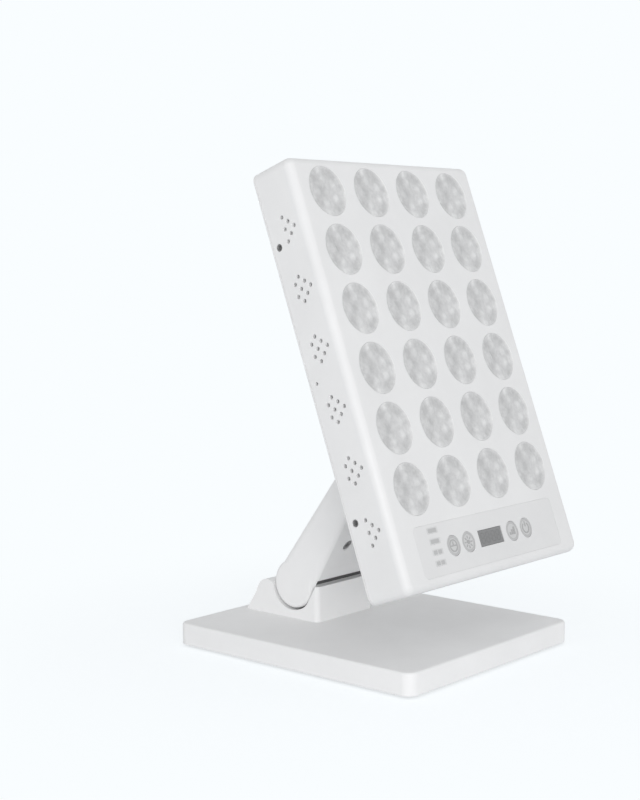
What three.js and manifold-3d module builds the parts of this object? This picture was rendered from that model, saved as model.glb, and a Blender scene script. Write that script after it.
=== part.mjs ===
// A red light therapy panel on a tilting stand. Lengths are in millimetres and +Z is up.
// +X is to the right of a person who faces the lenses, and -Y points towards that person.
// The origin lies on the table, under the middle of the base.
import * as THREE from "three";
import { mergeVertices } from "three/addons/utils/BufferGeometryUtils.js";
import Module from "manifold-3d";

const wasm = await Module();
wasm.setup();

const degrees = Math.PI / 180;
const fullTurn = 360;

// Fits shared by all pieces
const fitGap = 0.3; // between two pieces that touch
const overrun = 4; // how far a cutter runs past the face it cuts
const weld = 0.5; // how deep a boss is sunk into the wall that carries it
const pinSides = 16;

// Lenses, which set the size of the lamp head
const lensColumns = 4;
const lensRows = 6;
const lensHoleRadius = 19;
const lensGapX = 12; // between neighbouring holes, across
const lensGapZ = 6.2; // between neighbouring holes, up and down
const lensSides = 20;
const lensLobes = 10;
const lensLobeDepth = 2;
const lensRimWidth = 1.4; // plain rim outside the lobes
const lensThickness = 3;
const lensRecess = 0.9; // rim of a lens below the front face
const lensCrown = 0.8; // lobed crown above that rim

// Lamp head
const sideMargin = 14.5; // from the outer lens holes to the side
const topMargin = 6.8; // from the top lens holes to the top edge
const controlZone = 52.2; // from the bottom lens holes to the bottom edge
const panelDepth = 37;
const panelWall = 2.5;
const panelCornerRadius = 7;
const panelEdgeRadius = 6.5;
const panelLean = 20.3 * degrees;
const hingeHeight = 117.4; // from the bottom edge up to the tilt hinge
const rearCoverThickness = 1.5;
const cornerSteps = 4;
const edgeSteps = 4;

// Vent holes in the sides of the lamp head
const ventRadius = 1.5;
const ventPitch = 4.5;
const ventSides = 6;
const ventDepth = 11.3; // first column of holes behind the front face
const ventColumns = [1, 2, 3, 2]; // holes in each column of a cluster
const ventEndColumns = [1, 2, 3]; // the same for the top and the bottom cluster

// Threaded side holes
const sideHoleRadius = 2.7;
const sideHoleSpan = 201.7;
const sideHoleSetback = 7.2; // from the back of the lamp head
const middleHoleRadius = 1.2;
const sideHoleSides = 12;

// Posts that carry the rear cover and the LED board
const postRadius = 3.5;
const postSides = 8;
const screwSides = 8;
const postBoreRadius = 1.6;
const standoffRadius = 3.2;

// LED board and heat sink
const boardDepth = 8; // front of the board behind the front face
const boardThickness = 1.6;
const boardMargin = 2; // from the board to the posts
const emitterRadius = 6;
const emitterHeight = 1.2;
const emitterSides = 8;
const sinkPlate = 2.5;
const sinkFinHeight = 10;
const sinkFinThickness = 1.5;
const sinkFins = 11;
const sinkMargin = 4; // from the last fin to the edge of the plate

// Power supply
const supplyLength = 108;
const supplyHeight = 40;
const supplyDepth = 22;
const supplyTerminal = 14; // stepped end that holds the terminals
const supplyStep = 7;

// Fan
const fanSize = 80;
const fanDepth = 10;
const fanWall = 2.5;
const fanHeight = 65; // above the middle of the lamp head
const fanHubRadius = 15;
const fanHubFloat = 1; // from the rotor's hub to the frame's front and to its motor plate
const fanTipGap = 1.5;
const fanBlades = 7;
const fanBladeChord = 8.6;
const fanBladeThickness = 1.2;
const fanBladePitch = 40 * degrees;
const fanMotorPlate = 1.5;
const fanStruts = 4;
const fanStrutWidth = 4;
const fanShaftRadius = 1.5;
const fanShaftReach = 1.25; // of the shaft into the motor plate
const fanCornerRadius = 5;

// Rear cover openings
const grilleSlots = 9;
const grilleSlotWidth = 4;
const grilleMargin = 1; // from the end of a slot to the fan's bore
const supplySlots = 8;
const supplySlotWidth = 3;
const supplySlotLength = 24;
const supplySlotPitch = 9;

// Control strip
const controlSideMargin = 21.5;
const controlEndMargin = 7.7;
const controlThickness = 2.5;
const controlCornerRadius = 4;
const controlPostRadius = 2;
const controlPostInset = 5;
const controlBoardGap = 2.5; // from the plate to the board behind it
const controlBoardThickness = 1.6;
const displayWidth = 29.4;
const displayHeight = 12;
const displayRecess = 0.4;
const displayKeyGap = 5.7;
const keyRadius = 7.5;
const keyGap = 3.2;
const keyLip = 0.9;
const keyLipThickness = 0.8;
const keyRecess = 0.2;
const keyTravel = 0.8;
const keySides = 20;
const keySwitchSize = 6;
const markCount = 4;
const markWidth = 12.4;
const markHeight = 2.6;
const markPitch = 7.75;
const markRise = 2.2; // middle of the marks above the strip's middle
const markKeyGap = 6;

// Power inlet and rocker switch, in a centred row with the power supply
const supplyRockerGap = 11.5;
const rockerInletGap = 12;
const inletWidth = 27;
const inletHeight = 20;
const inletFlange = 3;
const inletFlangeThickness = 2;
const inletDepth = 21;
const inletWall = 2.2;
const inletFloor = 4;
const inletPinWidth = 2;
const inletPinHeight = 4;
const inletPinLength = 9;
const inletPinPitch = 7;
const inletPinRise = 2; // middle pin above the inlet's middle
const inletPinDrop = 1; // outer pins below it
const rockerFrameWidth = 19;
const rockerFrameHeight = 14.6;
const rockerFrameWall = 1.6;
const rockerFlange = 2;
const rockerFlangeThickness = 1.5;
const rockerDepth = 13;
const rockerFloor = 2;
const rockerSwing = 1; // running gap at the rocker's top and bottom
const rockerProud = 3; // tips of the rocker beyond its pivot
const rockerDish = 1.2;
const rockerKeel = 5;
const rockerKeelShare = 0.33; // width of the keel against the rocker's height
const rockerPivotRadius = 1;
const rockerPivotLength = 0.8;
const rockerPivotSides = 8;
const rockerTilt = 9 * degrees; // to each side of level
const rearFittingRise = 26.5; // middle of both above the bottom edge

// Tilt bracket and its hinge
const bracketThickness = 3;
const bracketHeight = 50;
const bracketScrewRadius = 2.2;
const bracketScrewInsetX = 13;
const bracketScrewInsetZ = 8;
const bracketEarRoot = 20; // half the height of an ear where it leaves the plate
const bracketEarSteps = 5;
const headClearance = 8.8; // between the bracket's plate and the arm's head
const tiltPinRadius = 4;
const tiltBoltHeadRadius = 7.5;
const tiltBoltHeadThickness = 5.5;
const tiltNutThickness = 6.5;
const tiltBoltEnd = 1.6; // thread beyond the nut
const hexSides = 6;

// Arm
const armWidth = 68;
const armLength = 141; // from hinge to hinge
const armLean = 32.85 * degrees;
const armRootRadius = 18.4;
const armHeadRadius = 10;
const armWall = 3;
const armRootSolid = 28; // solid stretch above the lower hinge
const armHeadSolid = 17; // solid stretch below the upper hinge
const armCoverThickness = 4;
const armScrewHeight = 49;
const armScrewSpacing = 28;
const armScrewHeadRadius = 4.4;
const armScrewHeadThickness = 1.8;
const armScrewSink = 0.6; // head below the cover's face
const armScrewDriverShare = 0.5; // of the head's radius and thickness
const armScrewShankRadius = 1.9;
const armScrewLength = 9;
const armBossRadius = 4.4;
const armRecessLow = 11.6; // recess across the front, just above the hinge foot
const armRecessHeight = 5.6;
const armRecessDepth = 12;
const armScrewSides = 12;
const barrelStep = 0.8; // the barrel stands this much out of the arm's root
const barrelSides = 36;
const armHeadSteps = 7;
const armRootSteps = 14;

// Lower hinge
const leanPinRadius = 5;
const leanPinInset = 6; // blind end of the pin from the arm's left side
const lugWidth = 18;
const lugRadius = 10;
const washerThickness = 1;
const washerRing = 4;
const washerSides = 16;
const leanBack = 45 * degrees; // how far the arm leans back from rest
const leanForward = 3 * degrees; // and forward
const lugMargin = 3 * degrees;

// Hinge foot
const cradleGap = 1.5; // dark running gap round the barrel
const cradleFloor = 6;
const cradleFrontRoom = 5.3; // from the trough to the foot's front face
const cradleFrontWall = 2.5; // at the front wall's top edge
const cradleSlot = 1.7; // between the arm's front face and the front wall's slanted inside
const cradleRearTop = 6.8; // width of the flat top behind the barrel
const cradleRearShoulder = 11;
const cradleRearDrop = 11;
const cradleShoulderShare = 0.7; // how full the rounding behind the flat top is
const cradleRearToe = 13;
const cradleCornerRadius = 4;
const cradleSteps = 14;
const shoulderSteps = 5;

// Base
const baseWidth = 204;
const baseDepth = 227;
const baseTop = 18.2;
const baseWall = 2.5;
const baseCornerRadius = 9;
const baseEdgeRadius = 2;
const baseCornerSteps = 5;
const baseRearMargin = 7; // from the hinge foot to the rear edge
const baseRibInset = 34;
const baseRibThickness = 2.4;
const weightThickness = 6;
const rubberHeight = 1.5; // how far the rubber feet lift the base
const rubberSeat = 1; // depth of their seats in the weight
const rubberRadius = 9;
const rubberInset = 20;
const rubberSides = 16;

// Worked out from the sizes above
const lensPitchX = 2 * lensHoleRadius + lensGapX;
const lensPitchZ = 2 * lensHoleRadius + lensGapZ;
const panelWidth = (lensColumns - 1) * lensPitchX + 2 * (lensHoleRadius + sideMargin);
const panelHeight = (lensRows - 1) * lensPitchZ + 2 * lensHoleRadius + topMargin + controlZone;
const housingDepth = panelDepth - rearCoverThickness - fitGap;
const firstRowZ = panelHeight / 2 - topMargin - lensHoleRadius;
const lastRowZ = firstRowZ - (lensRows - 1) * lensPitchZ;
const postX = panelWidth / 2 - panelWall - postRadius + weld;
const postZ = panelHeight / 2 - panelWall - postRadius;
const boardHalfWidth = postX - postRadius - boardMargin;
const boardTop = postZ - postRadius - boardMargin + lensGapZ / 2;
const boardBottom = lastRowZ - lensHoleRadius - lensGapZ / 2;
const sinkFront = boardDepth + boardThickness + fitGap;
const controlWidth = panelWidth - 2 * controlSideMargin;
const controlHeight = controlZone - 2 * controlEndMargin;
const controlZ = (controlZone - panelHeight) / 2;
const controlBoardFront = controlThickness + controlBoardGap + fitGap;
const keyPitch = 2 * keyRadius + keyGap;
const keyOffset = displayWidth / 2 + displayKeyGap + keyRadius;
const markX = -keyOffset - keyPitch - keyRadius - markKeyGap - markWidth / 2;
const rearFittingZ = rearFittingRise - panelHeight / 2;
const rearRowLength = supplyLength + supplyRockerGap + rockerFrameWidth + rockerInletGap + inletWidth;
const supplyX = (supplyLength - rearRowLength) / 2;
const rockerX = supplyX + (supplyLength + rockerFrameWidth) / 2 + supplyRockerGap;
const inletX = rockerX + (rockerFrameWidth + inletWidth) / 2 + rockerInletGap;
const supplyTop = boardBottom - boardMargin;
const bracketScrewZ = bracketHeight / 2 - bracketScrewInsetZ;
const earInner = armWidth / 2 + 2 * fitGap + washerThickness;
const earOuter = earInner + bracketThickness;
const bracketScrewX = earOuter - bracketScrewInsetX;
const hingeStandoff = armHeadRadius + headClearance + bracketThickness + fitGap;
const barrelRadius = armRootRadius + barrelStep;
const troughRadius = barrelRadius + cradleGap;
const cradleFront = -troughRadius - cradleFrontRoom;
const cradleRear = troughRadius + cradleRearTop + cradleRearShoulder + cradleRearToe;
const hingeY = baseDepth / 2 - baseRearMargin - cradleRear;
const hingeZ = baseTop + fitGap + cradleFloor + troughRadius;
const lugHalf = lugWidth / 2;
const cheekInner = lugHalf + washerThickness + 2 * fitGap;
const cradleBottom = baseTop + fitGap - hingeZ;
const taper = Math.asin((armRootRadius - armHeadRadius) / armLength);
const pocketLow = armRootSolid;
const pocketHigh = armLength - armHeadSolid;

const finishes = {
  shell: { color: 0xe6e7e8, roughness: 0.42, metalness: 0 },
  sheet: { color: 0xdcddde, roughness: 0.5, metalness: 0.1 },
  lens: { color: 0xc6c8c9, roughness: 0.22, metalness: 0 },
  strip: { color: 0xe0e1e2, roughness: 0.5, metalness: 0 },
  key: { color: 0xdddedf, roughness: 0.45, metalness: 0 },
  display: { color: 0x86888a, roughness: 0.2, metalness: 0 },
  board: { color: 0xf0f0ea, roughness: 0.55, metalness: 0 },
  circuit: { color: 0x2f6a42, roughness: 0.55, metalness: 0 },
  aluminium: { color: 0xb4b6b8, roughness: 0.4, metalness: 1 },
  steel: { color: 0xa6a8aa, roughness: 0.35, metalness: 1 },
  dark: { color: 0x26282a, roughness: 0.5, metalness: 0 },
  rubber: { color: 0x303234, roughness: 0.85, metalness: 0 },
};

// Solids and their placing

// A closed three.js geometry as a solid that can be joined and cut.
function solid(geometry) {
  geometry.deleteAttribute("normal");
  geometry.deleteAttribute("uv");
  const merged = mergeVertices(geometry);
  return new wasm.Manifold(
    new wasm.Mesh({
      numProp: 3,
      vertProperties: merged.attributes.position.array,
      triVerts: new Uint32Array(merged.index.array),
    }),
  );
}

// The finished solid as a flat-shaded three.js geometry.
function geometryOf(body) {
  const mesh = body.getMesh();
  const geometry = new THREE.BufferGeometry();
  geometry.setAttribute("position", new THREE.BufferAttribute(mesh.vertProperties, mesh.numProp));
  geometry.setIndex(new THREE.BufferAttribute(mesh.triVerts, 1));
  const facets = geometry.toNonIndexed();
  facets.computeVertexNormals();
  return facets;
}

// Turns an outline's plane so that its thickness runs along x, y or z. An outline for x holds (y, z)
// points, one for y holds (x, z) and one for z holds (x, y).
const turns = {
  x: new THREE.Matrix4().set(0, 0, 1, 0, 1, 0, 0, 0, 0, 1, 0, 0, 0, 0, 0, 1),
  y: new THREE.Matrix4().set(1, 0, 0, 0, 0, 0, -1, 0, 0, 1, 0, 0, 0, 0, 0, 1),
  z: new THREE.Matrix4(),
};

// A straight solid with this outline from one place to another along an axis.
function extrude(outline, along, from, to, holes = []) {
  const shape = new THREE.Shape(outline);
  shape.holes = holes.map((hole) => new THREE.Path(hole));
  const geometry = new THREE.ExtrudeGeometry(shape, { depth: to - from, bevelEnabled: false });
  geometry.translate(0, 0, along === "y" ? -to : from);
  return solid(geometry.applyMatrix4(turns[along]));
}

// A solid through outlines of equally many points, each at its own place along an axis.
function loft(sections, along) {
  const sign = along === "y" ? -1 : 1;
  const ordered = [...sections].sort((a, b) => sign * (a.at - b.at));
  const count = ordered[0].outline.length;
  const positions = ordered.flatMap(({ outline, at }) => outline.flatMap((p) => [p.x, p.y, sign * at]));
  const faces = [];
  for (let ring = 0; ring < ordered.length - 1; ring++) {
    for (let i = 0; i < count; i++) {
      const next = (i + 1) % count;
      const low = ring * count;
      const high = low + count;
      faces.push(low + i, low + next, high + next, low + i, high + next, high + i);
    }
  }
  const lastRing = (ordered.length - 1) * count;
  for (let i = 1; i < count - 1; i++) {
    faces.push(0, i + 1, i, lastRing, lastRing + i, lastRing + i + 1);
  }
  const geometry = new THREE.BufferGeometry();
  geometry.setAttribute("position", new THREE.Float32BufferAttribute(positions, 3));
  geometry.setIndex(faces);
  return solid(geometry.applyMatrix4(turns[along]));
}

const point = (a, b) => new THREE.Vector2(a, b);

// Points on a circle's arc, both ends included, or on a whole circle.
function arc(a, b, radius, from, to, steps) {
  return Array.from({ length: steps + 1 }, (_, i) => {
    const angle = from + ((to - from) * i) / steps;
    return point(a + radius * Math.cos(angle), b + radius * Math.sin(angle));
  });
}

function circle(a, b, radius, sides) {
  return arc(a, b, radius, 0, 2 * Math.PI, sides).slice(1);
}

function rectangle(a0, b0, a1, b1) {
  return [point(a0, b0), point(a1, b0), point(a1, b1), point(a0, b1)];
}

// A rectangle round a middle point, with rounded corners.
function roundedRectangle(a, b, width, height, radius, steps) {
  const x = width / 2 - radius;
  const y = height / 2 - radius;
  const quarter = Math.PI / 2;
  return [
    ...arc(a + x, b + y, radius, 0, quarter, steps),
    ...arc(a - x, b + y, radius, quarter, 2 * quarter, steps),
    ...arc(a - x, b - y, radius, 2 * quarter, 3 * quarter, steps),
    ...arc(a + x, b - y, radius, 3 * quarter, 4 * quarter, steps),
  ];
}

function cylinder(along, a, b, radius, from, to, sides = pinSides) {
  return extrude(circle(a, b, radius, sides), along, from, to);
}

function block(x0, x1, y0, y1, z0, z1) {
  return extrude(rectangle(x0, y0, x1, y1), "z", z0, z1);
}

function joined(bodies) {
  return bodies.reduce((sum, body) => sum.add(body));
}

function cutBy(body, cutters) {
  return cutters.length ? body.subtract(joined(cutters)) : body;
}

// Hangs a finished piece in a group.
function place(group, name, body, finish, x = 0, y = 0, z = 0) {
  const mesh = new THREE.Mesh(geometryOf(body), new THREE.MeshStandardMaterial(finishes[finish]));
  mesh.name = name;
  mesh.position.set(x, y, z);
  group.add(mesh);
  return mesh;
}

const bothSides = [-1, 1];
const threeAcross = [-1, 0, 1];
const numbered = (count) => Array.from({ length: count }, (_, i) => i);

// Base

// Plan of the base, drawn in on all sides by the given inset.
function basePlan(inset) {
  const radius = baseCornerRadius - Math.min(inset, baseCornerRadius / 2);
  return roundedRectangle(0, 0, baseWidth - 2 * inset, baseDepth - 2 * inset, radius, baseCornerSteps);
}

function makeBaseCover() {
  const rounding = numbered(edgeSteps + 1).map((i) => {
    const angle = ((Math.PI / 2) * i) / edgeSteps;
    return {
      outline: basePlan(baseEdgeRadius * (1 - Math.cos(angle))),
      at: baseTop - baseEdgeRadius + baseEdgeRadius * Math.sin(angle),
    };
  });
  const outside = loft([{ outline: basePlan(0), at: rubberHeight }, ...rounding], "z");
  const inside = extrude(basePlan(baseWall), "z", rubberHeight - overrun, baseTop - baseWall);
  const ribBottom = rubberHeight + weightThickness + fitGap;
  const ribTop = baseTop - baseWall + weld;
  const ribEnd = baseDepth / 2 - baseWall + weld;
  const crossEnd = baseWidth / 2 - baseRibInset;
  const ribs = bothSides.map((side) => {
    const middle = side * crossEnd;
    const half = baseRibThickness / 2;
    return block(middle - half, middle + half, -ribEnd, ribEnd, ribBottom, ribTop);
  });
  const cross = block(-crossEnd, crossEnd, -baseRibThickness / 2, baseRibThickness / 2, ribBottom, ribTop);
  return joined([outside.subtract(inside), ...ribs, cross]);
}

function rubberPlaces() {
  const x = baseWidth / 2 - rubberInset;
  const y = baseDepth / 2 - rubberInset;
  return [
    { name: "front_left", x: -x, y: -y },
    { name: "front_right", x, y: -y },
    { name: "rear_left", x: -x, y },
    { name: "rear_right", x, y },
  ];
}

function makeBaseWeight() {
  const slab = extrude(basePlan(baseWall + fitGap), "z", rubberHeight, rubberHeight + weightThickness);
  const seatTop = rubberHeight + rubberSeat;
  const seats = rubberPlaces().map(({ x, y }) =>
    cylinder("z", x, y, rubberRadius + fitGap, rubberHeight - overrun, seatTop, rubberSides),
  );
  return cutBy(slab, seats);
}

function makeRubberFoot() {
  return cylinder("z", 0, 0, rubberRadius, 0, rubberHeight + rubberSeat - fitGap, rubberSides);
}

// Hinge foot: a trough across the base in which the arm's barrel turns. Its outline is in (y, z), seen
// from the lower hinge's axis.

// Inside of the front wall: from where it leaves the trough it follows the arm's front face, one slot
// away, up to the wall's top edge.
function cradleFrontInside() {
  const normal = Math.PI + armLean - taper;
  const away = armRootRadius + cradleSlot;
  const y = cradleFront + cradleFrontWall;
  return {
    from: normal + Math.acos(away / troughRadius),
    edge: point(y, (away - y * Math.cos(normal)) / Math.sin(normal)),
  };
}

function cradleProfile() {
  const { from, edge } = cradleFrontInside();
  const rearTop = troughRadius + cradleRearTop;
  const shoulder = new THREE.QuadraticBezierCurve(
    point(rearTop + cradleRearShoulder, -cradleRearDrop),
    point(rearTop + cradleRearShoulder * cradleShoulderShare, 0),
    point(rearTop, 0),
  ).getPoints(shoulderSteps);
  return [
    point(cradleFront, cradleBottom),
    point(cradleRear, cradleBottom),
    ...shoulder,
    ...arc(0, 0, troughRadius, 2 * Math.PI, from, cradleSteps),
    edge,
    point(cradleFront, edge.y),
  ];
}

function makeHingeFoot() {
  const half = armWidth / 2;
  const middle = (cradleFront + cradleRear) / 2;
  const length = cradleRear - cradleFront;
  const plan = roundedRectangle(0, middle, armWidth, length, cradleCornerRadius, cornerSteps);
  const trough = extrude(cradleProfile(), "x", -half, half);
  const rounded = trough.intersect(extrude(plan, "z", cradleBottom - overrun, troughRadius));
  const lug = joined([
    cylinder("x", 0, 0, lugRadius, -lugHalf, lugHalf, pinSides),
    block(-lugHalf, lugHalf, -lugRadius, lugRadius, cradleBottom, 0),
  ]);
  const bore = cylinder("x", 0, 0, leanPinRadius + fitGap, -lugHalf - overrun, lugHalf + overrun);
  return rounded.add(lug).subtract(bore);
}

// Arm, in its own frame: the lower hinge is at the origin, +z runs to the upper hinge and -y is the
// front side that carries the cover.

// Distance of the arm's front or rear face from the middle line at a height, less an inset.
function armHalf(z, inset = 0) {
  return (armRootRadius - inset) / Math.cos(taper) - z * Math.tan(taper);
}

function armOutline() {
  return [
    ...arc(0, armLength, armHeadRadius, taper, Math.PI - taper, armHeadSteps),
    ...arc(0, 0, armRootRadius, Math.PI - taper, 2 * Math.PI + taper, armRootSteps),
  ];
}

// The room that the foot's lug needs inside the barrel while the arm turns: it is bounded by the lug's
// two sides, each at the end of the arm's travel that brings it nearest.
function lugRoom() {
  const down = 1.5 * Math.PI - armLean;
  const reach = lugRadius + 2 * fitGap;
  const sides = [
    { toward: down - leanForward - lugMargin, turn: -Math.PI / 2 },
    { toward: down + leanBack + lugMargin, turn: Math.PI / 2 },
  ].map(({ toward, turn }) => {
    const near = point(reach * Math.cos(toward + turn), reach * Math.sin(toward + turn));
    const far = point(2 * barrelRadius * Math.cos(toward), 2 * barrelRadius * Math.sin(toward)).add(near);
    return { near, far };
  });
  const outline = [sides[0].near, sides[0].far, sides[1].far, sides[1].near];
  const room = extrude(outline, "x", -cheekInner, cheekInner);
  return room.add(cylinder("x", 0, 0, reach / Math.cos(Math.PI / pinSides), -cheekInner, cheekInner));
}

function armScrewPlaces() {
  return bothSides.map((side) => ({ side, x: (side * armScrewSpacing) / 2 }));
}

function makeArmShell() {
  const half = armWidth / 2;
  const arm = extrude(armOutline(), "x", -half, half);
  const barrel = cylinder("x", 0, 0, barrelRadius, -half, half, barrelSides);
  const pocket = extrude(
    [
      point(-armHalf(pocketLow) - overrun, pocketLow),
      point(-armHalf(pocketHigh) - overrun, pocketHigh),
      point(armHalf(pocketHigh, armWall), pocketHigh),
      point(armHalf(pocketLow, armWall), pocketLow),
    ].reverse(),
    "x",
    armWall - half,
    half - armWall,
  );
  const bossFront = -armHalf(armScrewHeight, armCoverThickness) + fitGap + armBossRadius * Math.tan(taper);
  const bossRear = armHalf(armScrewHeight, armWall) + weld;
  const bosses = armScrewPlaces().map(({ x }) =>
    cylinder("y", x, armScrewHeight, armBossRadius, bossFront, bossRear, armScrewSides),
  );
  const bores = armScrewPlaces().map(({ x }) =>
    cylinder("y", x, armScrewHeight, armScrewShankRadius + fitGap, bossFront - overrun,
      armScrewSeat() + armScrewLength + fitGap, armScrewSides),
  );
  const recess = block(armWall - half, half - armWall, -armRootRadius - overrun,
    armRecessDepth - armRootRadius, armRecessLow, armRecessLow + armRecessHeight);
  const body = cutBy(joined([arm, barrel]), [pocket, recess]);
  return cutBy(joined([body, ...bosses]), [
    ...bores,
    cylinder("x", 0, 0, leanPinRadius + fitGap, leanPinInset - fitGap - half, half + overrun),
    cylinder("x", 0, armLength, tiltPinRadius + fitGap, -half - overrun, half + overrun),
    lugRoom(),
  ]);
}

// Where the underside of a cover screw's head lies, in depth from the arm's middle line.
function armScrewSeat() {
  return -armHalf(armScrewHeight) + armScrewSink + armScrewHeadThickness;
}

function makeArmCover() {
  const half = armWidth / 2 - armWall - fitGap;
  const low = pocketLow + fitGap;
  const high = pocketHigh - fitGap;
  const plate = extrude(
    [
      point(-armHalf(low), low),
      point(-armHalf(low, armCoverThickness), low),
      point(-armHalf(high, armCoverThickness), high),
      point(-armHalf(high), high),
    ],
    "x",
    -half,
    half,
  );
  const holes = armScrewPlaces().flatMap(({ x }) => [
    cylinder("y", x, armScrewHeight, armScrewHeadRadius + fitGap, -armHalf(armScrewHeight) - overrun,
      armScrewSeat() + fitGap, armScrewSides),
    cylinder("y", x, armScrewHeight, armScrewShankRadius + fitGap, -armHalf(armScrewHeight) - overrun,
      armScrewSeat() + overrun, armScrewSides),
  ]);
  return cutBy(plate, holes);
}

// A cover screw with its head's underside at the origin, pointing along +y.
function makeArmScrew() {
  const driver = cylinder("y", 0, 0, armScrewHeadRadius * armScrewDriverShare,
    -armScrewHeadThickness - overrun, -armScrewHeadThickness * armScrewDriverShare, hexSides);
  const head = cylinder("y", 0, 0, armScrewHeadRadius, -armScrewHeadThickness, 0, armScrewSides);
  const shank = cylinder("y", 0, 0, armScrewShankRadius, -weld, armScrewLength, armScrewSides);
  return head.subtract(driver).add(shank);
}

// Hinge hardware

function makeLeanPin() {
  const half = armWidth / 2;
  return cylinder("x", 0, 0, leanPinRadius, leanPinInset - half, half - fitGap);
}

function makeWasher(boreRadius) {
  const hole = circle(0, 0, boreRadius, washerSides).reverse();
  return extrude(circle(0, 0, boreRadius + washerRing, washerSides), "x", 0, washerThickness, [hole]);
}

function makeTiltBolt() {
  const head = cylinder("x", 0, 0, tiltBoltHeadRadius, -earOuter - fitGap - tiltBoltHeadThickness,
    -earOuter - fitGap, hexSides);
  const end = earOuter + fitGap + tiltNutThickness + tiltBoltEnd;
  return head.add(cylinder("x", 0, 0, tiltPinRadius, -earOuter - fitGap - weld, end));
}

function makeTiltNut() {
  const from = earOuter + fitGap;
  const hole = circle(0, 0, tiltPinRadius + fitGap, pinSides).reverse();
  return extrude(circle(0, 0, tiltBoltHeadRadius, hexSides), "x", from, from + tiltNutThickness, [hole]);
}

// Bores for the four screws between the bracket and the rear cover.
function bracketHoles(middle, from, to) {
  return bothSides.flatMap((side) =>
    bothSides.map((end) => {
      const z = middle + end * bracketScrewZ;
      return cylinder("y", side * bracketScrewX, z, bracketScrewRadius, from, to, screwSides);
    }),
  );
}

// The bracket is drawn from the tilt hinge's axis: the lamp head is on its -y side.
function makeTiltBracket() {
  const front = fitGap - hingeStandoff;
  const back = front + bracketThickness;
  const plate = block(-earOuter, earOuter, front, back, -bracketHeight / 2, bracketHeight / 2);
  const ear = [
    point(back - weld, bracketEarRoot),
    point(back - weld, -bracketEarRoot),
    ...arc(0, 0, armHeadRadius, -Math.PI / 2, Math.PI / 2, bracketEarSteps),
  ];
  const ears = bothSides.map((side) =>
    extrude(ear, "x", side < 0 ? -earOuter : earInner, side < 0 ? -earInner : earOuter),
  );
  const screws = bracketHoles(0, front - overrun, back + overrun);
  const bore = cylinder("x", 0, 0, tiltPinRadius + fitGap, -earOuter - overrun, earOuter + overrun);
  return cutBy(joined([plate, ...ears]), [...screws, bore]);
}

// Lamp head, in its own frame: the origin is the middle of the front face, +y runs into the lamp head
// and +z up along it.

function panelPlan(inset, radius) {
  return roundedRectangle(0, 0, panelWidth - 2 * inset, panelHeight - 2 * inset, radius, cornerSteps);
}

// The lamp head's outline with its rounded front edge, drawn in on all sides by a wall's thickness.
function panelBlank(wall, to) {
  const rounding = numbered(edgeSteps + 1).map((i) => {
    const angle = ((Math.PI / 2) * i) / edgeSteps;
    const radius = panelEdgeRadius - wall;
    const inset = wall + radius * (1 - Math.sin(angle));
    const at = wall + radius * (1 - Math.cos(angle));
    return { outline: panelPlan(inset, panelCornerRadius - inset), at };
  });
  return loft([...rounding, { outline: panelPlan(wall, panelCornerRadius - wall), at: to }], "y");
}

function lensPlaces() {
  return numbered(lensRows).flatMap((row) =>
    numbered(lensColumns).map((column) => ({
      name: "lens_" + (row + 1) + "_" + (column + 1),
      x: (column - (lensColumns - 1) / 2) * lensPitchX,
      z: firstRowZ - row * lensPitchZ,
    })),
  );
}

// Centres of the vent holes in one side, as depth and height.
function ventPlaces() {
  return numbered(lensRows).flatMap((cluster) => {
    const middle = firstRowZ - ((2 * cluster + 1) / 2) * lensPitchZ;
    const atEnd = cluster === 0 || cluster === lensRows - 1;
    return (atEnd ? ventEndColumns : ventColumns).flatMap((holes, column) =>
      numbered(holes).map((hole) => ({
        depth: ventDepth + column * ventPitch,
        height: middle + (2 * hole - holes + 1) * ventPitch,
      })),
    );
  });
}

function postPlaces() {
  const heights = [postZ, firstRowZ - lensPitchZ, lastRowZ + lensPitchZ, -postZ];
  return bothSides.flatMap((side) => heights.map((z) => ({ x: side * postX, z })));
}

function sideHoles() {
  const depth = panelDepth - sideHoleSetback;
  const end = panelWidth / 2 + overrun;
  return [
    cylinder("x", depth, sideHoleSpan / 2, sideHoleRadius, -end, end, sideHoleSides),
    cylinder("x", depth, -sideHoleSpan / 2, sideHoleRadius, -end, end, sideHoleSides),
    cylinder("x", depth, 0, middleHoleRadius, -end, end, ventSides),
  ];
}

function makeFrontHousing() {
  const outside = panelBlank(0, housingDepth);
  const inside = panelBlank(panelWall, housingDepth + overrun);
  const lensHoles = lensPlaces().map(({ x, z }) =>
    cylinder("y", x, z, lensHoleRadius, -overrun, panelWall + overrun, lensSides),
  );
  const end = panelWidth / 2 + overrun;
  const vents = ventPlaces().map(({ depth, height }) =>
    cylinder("x", depth, height, ventRadius, -end, end, ventSides),
  );
  const stripRoom = controlOutline(0, controlZ, fitGap);
  const strip = extrude(stripRoom, "y", -overrun, panelWall + overrun);
  const shell = cutBy(outside, [inside, ...lensHoles, strip, ...vents, ...sideHoles()]);
  const posts = postPlaces().map(({ x, z }) =>
    cylinder("y", x, z, postRadius, panelEdgeRadius, housingDepth, postSides),
  );
  const standoffEnd = boardDepth - fitGap;
  const standoffs = threeAcross.flatMap((column) =>
    [firstRowZ - lensPitchZ / 2, lastRowZ + lensPitchZ / 2].map((z) =>
      cylinder("y", column * lensPitchX, z, standoffRadius, panelWall - weld, standoffEnd, postSides),
    ),
  );
  const postBores = postPlaces().map(({ x, z }) =>
    cylinder("y", x, z, postBoreRadius, housingDepth / 2, housingDepth + overrun, postSides),
  );
  return cutBy(joined([shell, ...posts, ...standoffs]), postBores);
}

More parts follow.
